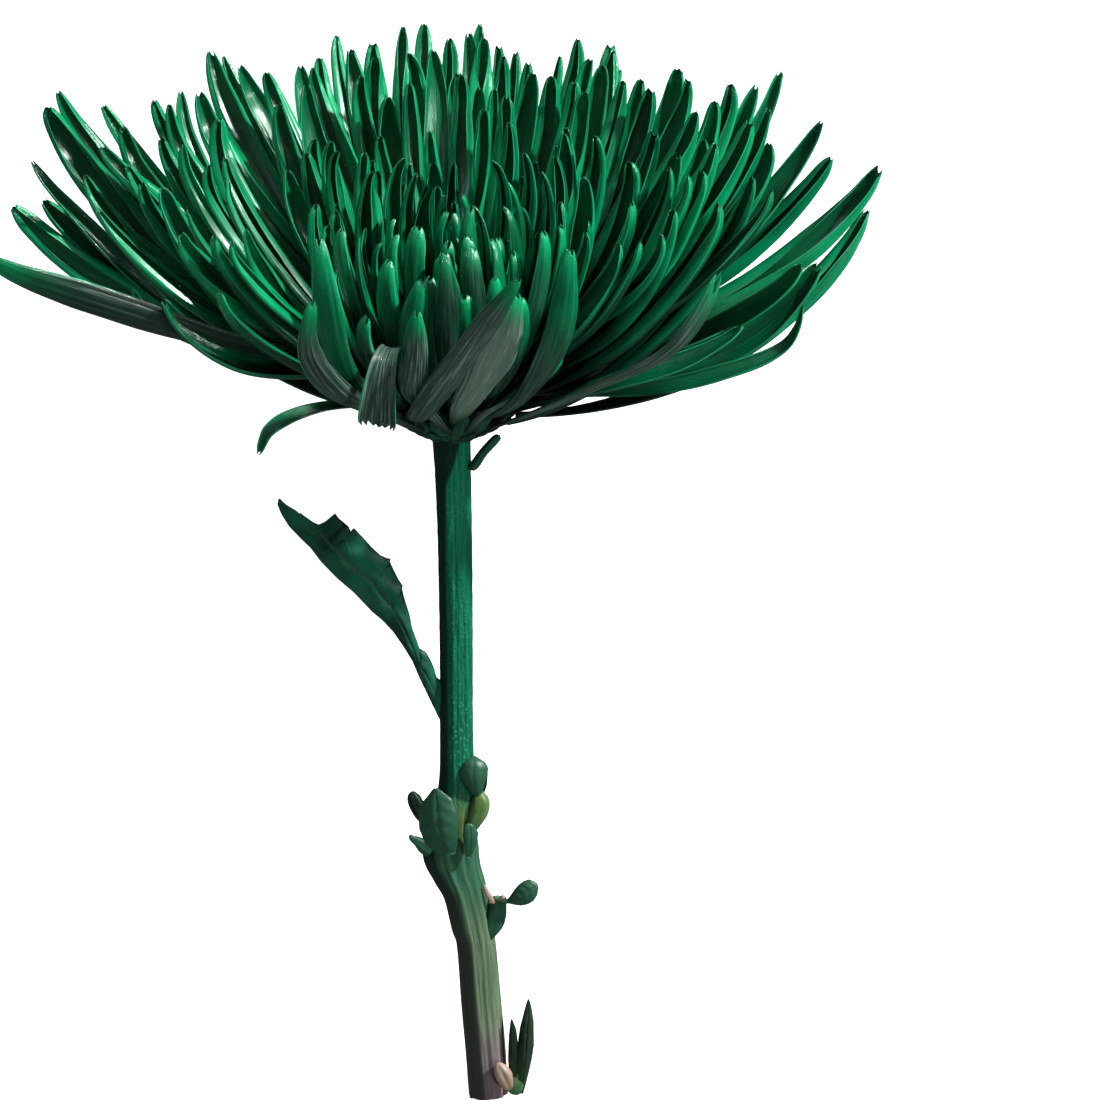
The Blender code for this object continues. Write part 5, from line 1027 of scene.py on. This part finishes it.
# ---------------------------------------------------------------- the back of the head
def calyx(base_skin, bract_skin):
    outline = [(18.5, -10), (20.5, -6), (24, -3.6), (30, -1.0), (37, 2.6), (44, 6.4), (50, 10.2), (53, 12.8), (52, 14.2), (46, 12.2), (38, 9.4), (30, 6.8), (22, 5.2)]
    s = np.linspace(0, 1, 44)
    o = spline(np.array(outline, float), s)
    a = 2 * math.pi * np.arange(112) / 112
    r = o[:, 0, None] * (1 + 0.012 * np.cos(28 * a) * np.clip((o[:, 0, None] - 24) / 20, 0, 1))
    p = place(r * np.sin(a), r * np.cos(a), o[:, 1, None] + 0.5 * np.cos(28 * a) + 0 * r)
    tube("involucre_base", p[::-1], base_skin, "involucre_bracts", ["involucre"], ends=False)
    rng = np.random.default_rng(21)
    for row, (count, r0, h0, r1, h1, wide) in enumerate([(9, 19.5, -8.0, 36, 0.6, 7.5), (13, 27, -3.2, 47, 7.0, 7.5), (17, 38, 2.0, 58, 13.2, 7.5), (19, 46, 8.0, 84, 46, 9.5)]):
        points, faces, surfaces, base = [], [], [], 0
        for k in range(count):
            phi = 2 * math.pi * (k + 0.5 * row + rng.uniform(-0.12, 0.12)) / count
            reach = r1 * rng.uniform(0.95, 1.04)
            v, w = np.meshgrid(np.linspace(0, 1, 16), np.linspace(-1, 1, 9), indexing="ij")
            half = wide * rng.uniform(0.85, 1.1) * np.interp(v, [0, 0.25, 0.6, 0.85, 1.0], [0.7, 1.0, 0.9, 0.5, 0.05])
            rad = r0 + (reach - r0) * v
            high = h0 + (h1 - h0) * v**1.25 - 1.6 * (1 - w**2) * np.sin(math.pi * np.clip(v, 0, 1)) + 1.2 * w**2
            side = w * half
            u = rad * math.sin(phi) + side * math.cos(phi)
            d = rad * math.cos(phi) - side * math.sin(phi)
            skin = [place(u, d, high - 0.9), place(u, d, high + 0.9 * (1 - 0.8 * v))]
            points += [s_.reshape(-1, 3) for s_ in skin]
            surf = np.zeros((2, 16, 9, 3))
            surf[..., 0], surf[..., 1] = w, v
            surf[1, ..., 2] = 1
            surfaces.append(surf.reshape(-1, 3))
            faces.append(two_sided(16, 9) + base)
            base += 2 * 16 * 9
        mesh_object(f"involucre_row_{row + 1}", np.concatenate(points), np.concatenate(faces), bract_skin, "involucre_bracts", ["involucre"], np.concatenate(surfaces), (0.5, 0, 0.2))


def head_core(material):
    """Skin of the receptacle, dimpled where the florets are rooted."""
    polar = np.radians(np.linspace(0.5, 142, 76))[:, None]
    a = 2 * math.pi * np.arange(120) / 120
    dimple = 1 - 0.012 * (np.cos(36 * a) * np.cos(26 * polar)) - 0.07
    r = DOME_R * np.sin(polar) * dimple
    p = place(r * np.sin(a), r * np.cos(a), DOME_H0 + (DOME_H - 4) * np.cos(polar) + 0 * r)
    tube("receptacle_skin", p, material, "receptacle_tissue", ["receptacle"])


# ---------------------------------------------------------------- the florets
def make_florets(lit, grey):
    florets, x, half, roll, flat, pin = grow()
    x = settle(x, half, flat, roll, pin)
    _, lat, n = frames(x, roll)
    rng = np.random.default_rng(77)
    number = 0
    q = np.array([f["q"] for f in florets])
    for i, f in enumerate(florets):
        seed = rng.uniform()
        course = f["course"][0] if "course" in f else ""
        outer = f["ring"] == "ray"
        row = f["row"]
        middle = f["ring"] == "middle"
        young = 1 - q[i]
        look = dict(
            hook=math.radians(rng.uniform(5, 34)), hook_from=rng.uniform(0.86, 0.92), twist=rng.normal(0, 0.22),
            neck=rng.uniform(0.82, 1.0), flare=rng.uniform(0.9, 1.15), wave=rng.uniform(1.2, 2.6), seed=seed,
            curl=[3.1, 3.1, 3.08, rng.uniform(2.7, 3.08), rng.uniform(2.2, 3.0), rng.uniform(2.0, 2.9)],
            round=rng.uniform(0.03, 0.06), mouth=rng.uniform(0.35, 0.75), inner=rng.uniform(0.30, 0.80), groove=rng.uniform(0.1, 0.8),
            teeth=int(rng.integers(2, 4)), tooth=rng.uniform(0.45, 1.0), ridge=rng.uniform(0.03, 0.075), ridges=int(rng.integers(5, 9)),
            keel=rng.uniform(0.02, 0.12), wall=0.16 if q[i] > 0.4 else 0.13,
            # tone: random, plus painted light and shade by place: lighter at the back of the head, darker at the sides
            tone=float(np.clip(rng.normal(0.48 + (0.42 * max(0.0, -math.cos(f["phi"])) - 0.08 * abs(math.sin(f["phi"]))) * q[i], 0.20), 0.08, 0.98)),
            under=float(np.clip((0.95 if outer else (0.55, 0.80, 0.95, 1.0)[row] if middle else 0.05) * rng.uniform(0.55, 1.1), 0, 1)),
        )
        behind = max(0.0, -math.cos(f["phi"]))
        look["under"] *= 1 - 0.85 * min(1.0, 1.6 * behind)
        look["tooth"] *= 1 - 0.35 * behind
        if not outer and not middle:
            look.update(neck=rng.uniform(0.70, 0.85), mouth=rng.uniform(0.3, 0.5), tone=float(np.clip(rng.normal(0.32, 0.12), 0.05, 0.6)))
        if rng.uniform() < 0.22:  # some are split open, like a strap
            look.update(curl=[3.0, 2.8, rng.uniform(1.9, 2.4), rng.uniform(1.5, 2.0), rng.uniform(1.6, 2.1), rng.uniform(1.8, 2.4)], inner=1.0, groove=0.0)
        flat_i, rows, cols = flat[i], 34, 17
        material, slot = lit, "dyed_floret"
        if outer:
            number += 1
            rows, cols = 48, 21
            look["hook"] *= 0.6
            look["wall"] = 0.2
        if course:
            look.update(ridge=0.06, ridges=9, under=1.0, tone=0.55, hook=math.radians(14), twist=0.0, wall=0.24, curl=[2.5, 2.1, 1.75, 1.6, 1.7, 1.9], inner=1.0, groove=0.0, mouth=0.7)
            material, slot, rows, cols = grey, "floret_underside", 60, 25
        if course == "reflexed":
            look.update(hook=0.0, neck=1.0, flare=1.0, teeth=7, tooth=0.7, curl=[2.3, 1.9, 1.45, 1.3, 1.3, 1.3], ridge=0.06, ridges=8, tone=0.22, round=0.02, mouth=0.92, under=1.9)
            rows = 84
            look["swap"] = True
        if course == "front_diagonal":
            look.update(ridge=0.02, ridges=6, curl=[1.8, 1.6, 1.5, 1.5, 1.6, 1.9], neck=0.8, under=1.5, tone=0.22)
        if course == "front_right_broad":
            look.update(ridge=0.06, ridges=14, neck=0.8, tone=0.96, under=1.5)
        if course in ("front_left", "front_centre"):
            look.update(ridge=0.08, ridges=10, under=1.45, tone=0.14 if course == "front_left" else 0.40)
        if course == "bifid_right":
            look.update(teeth=2, tooth=2.4, neck=0.95)
        if course in ("drooping", "low_right", "low_right_broad", "front_right", "far_left", "front_left_inner"):
            look.update(under=0.5)
        if course == "front_left_inner":
            look.update(under=0.0, tone=0.7)
        if course == "far_left":
            look.update(under=1.3, tone=0.05)
        nodes = [f"ray_floret_{number:02d}"] if outer else ["disc_florets" if f["ring"] == "disc" else f"{f['ring']}_florets_{f['group'][-1]}"]
        name = f"ray_{number:02d}" if outer else f"{f['ring']}_{i:03d}"
        run = x[i][-1] - x[i][0]
        aside = abs(run @ SIDE) / np.linalg.norm(run)
        wider = {"disc": 0.92, "inner": 0.95, "middle": 1.06, "ray": 1.0}[f["ring"]] * (1 if course or outer else 1 + 0.14 * aside)
        floret(name, x[i], half[i] * wider, flat_i, lat[i], n[i], look, material, slot, nodes, rows, cols)
    # the youngest florets, short and hooked over the middle
    spots = [(0.0, 0.0)] + [(14.0, 72.0 * k + 20) for k in range(5)]
    for k, (r, deg) in enumerate(spots):
        a = math.radians(deg)
        out = np.array([math.sin(a), math.cos(a)])
        s = np.linspace(0, 1, 10)[:, None]
        top = 232 + 0.8 * r + rng.uniform(-14, 10)
        line = np.concatenate([out * (0.75 * r + 0.45 * r * s), 60 + (top - 60) * s], 1)
        pts = place(line[:, 0], line[:, 1], line[:, 2])
        tang = unit(np.gradient(pts, axis=0))
        outward = out[0] * SIDE + out[1] * FRONT
        nn = unit(outward[None] - (tang @ outward)[:, None] * tang)
        la = np.cross(tang, nn)
        wide = UNIT * 5.2 * np.interp(s[:, 0], [0, 0.3, 0.8, 1], [0.6, 0.8, 1.0, 0.7])
        look = dict(hook=math.radians(rng.uniform(20, 50)), hook_from=0.80, twist=0.0, neck=0.92, flare=1.1, wave=1.0, seed=rng.uniform(), hold=0.0,
                    curl=[2.9, 2.9, 2.8, 2.7, 2.6, 2.6], round=0.05, mouth=0.6, inner=0.8, groove=0.2, teeth=3, tooth=0.35, ridge=0.02, ridges=4, keel=0.0, wall=0.12, tone=0.3, under=0.0)
        floret(f"young_{k:02d}", pts, wide, 0.95, la, nn, look, lit, "dyed_floret", ["disc_florets"], 26, 11)


# ---------------------------------------------------------------- put together
lit = floret_paint("dyed_floret_look", False)
grey = floret_paint("floret_underside_look", True)
stem_skin = stem_paint()
leafy = leaf_paint("leaf_look", (0.003, 0.036, 0.022), (0.005, 0.135, 0.074), (0.045, 0.095, 0.040), (0.010, 0.060, 0.040))
dark_leaf = leaf_paint("dark_leaflet_look", (0.006, 0.022, 0.012), (0.016, 0.046, 0.022), (0.035, 0.070, 0.030), (0.012, 0.04, 0.024))
young_leaf = soft_paint("young_leaf_look", (0.015, 0.082, 0.044), (0.030, 0.135, 0.070), (0.012, 0.052, 0.026), 0.46)
sage_bud = soft_paint("bud_look", (0.045, 0.165, 0.075), (0.150, 0.245, 0.060), (0.035, 0.110, 0.020), 0.48, spots=0.5)
pink = soft_paint("pale_scale_look", (0.34, 0.24, 0.15), (0.50, 0.36, 0.30), (0.20, 0.22, 0.10), 0.5, spots=0.45)
base_skin = soft_paint("calyx_look", (0.006, 0.050, 0.030), (0.012, 0.085, 0.048), (0.004, 0.028, 0.020), 0.55)
bract_skin = leaf_paint("calyx_bract_look", (0.004, 0.028, 0.018), (0.012, 0.095, 0.052), (0.04, 0.12, 0.07), (0.01, 0.06, 0.035), 0.52)
core = soft_paint("receptacle_look", (0.006, 0.034, 0.018), (0.012, 0.055, 0.028), (0.004, 0.022, 0.012), 0.6)

make_florets(lit, grey)
make_stem(stem_skin)
small_parts(leafy, young_leaf, sage_bud, pink, dark_leaf)
calyx(base_skin, bract_skin)
head_core(core)

# ---------------------------------------------------------------- surface, light and camera
floor_mesh = bpy.data.meshes.new("floor")
floor_mesh.from_pydata([(-7, -7, -0.0002), (7, -7, -0.0002), (7, 7, -0.0002), (-7, 7, -0.0002)], [], [(0, 1, 2, 3)])
floor = bpy.data.objects.new("floor", floor_mesh)
bpy.context.scene.collection.objects.link(floor)
white = Paint("pale_floor")
white.done((0.93, 0.93, 0.93), 0.9, Specular_IOR_Level=0.1, Emission_Color=(1, 1, 1, 1), Emission_Strength=1.0)
floor_mesh.materials.append(white.mat)
floor.visible_diffuse = False
floor.visible_glossy = False
floor.visible_shadow = False

world = bpy.data.worlds.new("studio")
world.use_nodes = True
sky = world.node_tree.nodes["Background"]
sky.inputs["Color"].default_value = (1, 1, 1, 1)
path = world.node_tree.nodes.new("ShaderNodeLightPath")
seen = world.node_tree.nodes.new("ShaderNodeMapRange")
seen.inputs["To Min"].default_value = 0.05
seen.inputs["To Max"].default_value = 0.96
world.node_tree.links.new(path.outputs["Is Camera Ray"], seen.inputs["Value"])
world.node_tree.links.new(seen.outputs["Result"], sky.inputs["Strength"])
bpy.context.scene.world = world


def aim(obj, where, target):
    direction = np.array(target, float) - np.array(where, float)
    obj.location = where
    from mathutils import Vector
    obj.rotation_mode = "QUATERNION"
    obj.rotation_quaternion = Vector(direction).to_track_quat("-Z", "Y")


def softbox(name, where, target, size, power, colour=(1, 1, 1)):
    light = bpy.data.lights.new(name, "AREA")
    light.shape = "RECTANGLE"
    light.size, light.size_y = size
    light.energy = power
    light.color = colour
    obj = bpy.data.objects.new(name, light)
    bpy.context.scene.collection.objects.link(obj)
    aim(obj, where, target)
    obj.visible_camera = False
    obj.visible_diffuse = False  # for gloss only
    return obj


def sun(name, where, strength, spread):
    light = bpy.data.lights.new(name, "SUN")
    light.energy = strength
    light.angle = math.radians(spread)
    obj = bpy.data.objects.new(name, light)
    bpy.context.scene.collection.objects.link(obj)
    aim(obj, where, (0, 0, 0))
    return obj


sun("sun_key", (1.0, 0.85, 0.62), 4.5, 3)
sun("sun_fill", (-0.3, 0.5, 1.2), 0.22, 40).visible_glossy = False
sun("sun_low", (0.65, -0.42, 0.62), 1.0, 20).visible_glossy = False
# soft light that a pale floor and the room send back at the far sides
sun("bounce_floor", (-0.30, -0.35, -0.9), 0.9, 100).visible_glossy = False
sun("bounce_left", (-0.85, 0.50, 0.10), 0.5, 40).visible_glossy = False
sun("bounce_behind", (-0.30, -0.95, 0.06), 0.5, 40).visible_glossy = False
MINT = (0.85, 1.0, 0.94)
softbox("softbox_top", (0.12, 0.90, 0.45), (0, 0.03, 0.04), (0.30, 0.06), 1.5, MINT)
softbox("softbox_right", (0.70, 0.30, 0.5), (0, 0.02, 0.04), (0.05, 0.4), 3.0, MINT)
softbox("softbox_left", (-0.45, 0.60, 0.65), (0, 0.04, 0.04), (0.35, 0.35), 0.8, (0.62, 0.92, 1.0))
softbox("spark", (0.50, 0.85, 0.42), (0, 0.04, 0.05), (0.05, 0.05), 8.0, MINT)

camera_data = bpy.data.cameras.new("camera")
camera = bpy.data.objects.new("camera", camera_data)
bpy.context.scene.collection.objects.link(camera)
bpy.context.scene.camera = camera
CAMERA_Z, FOCUS_Z, WIDE = 5.0, 0.042, 0.165
camera_data.sensor_width = 36.0
camera_data.lens = 36.0 * (CAMERA_Z - FOCUS_Z) / WIDE
camera_data.clip_end = 60.0
camera.location = (0.016725 - SHIFT[0] * 0.001, 0.001275 - SHIFT[1] * 0.001, CAMERA_Z)

bpy.context.scene.view_settings.view_transform = "Standard"
bpy.context.scene.view_settings.look = "None"
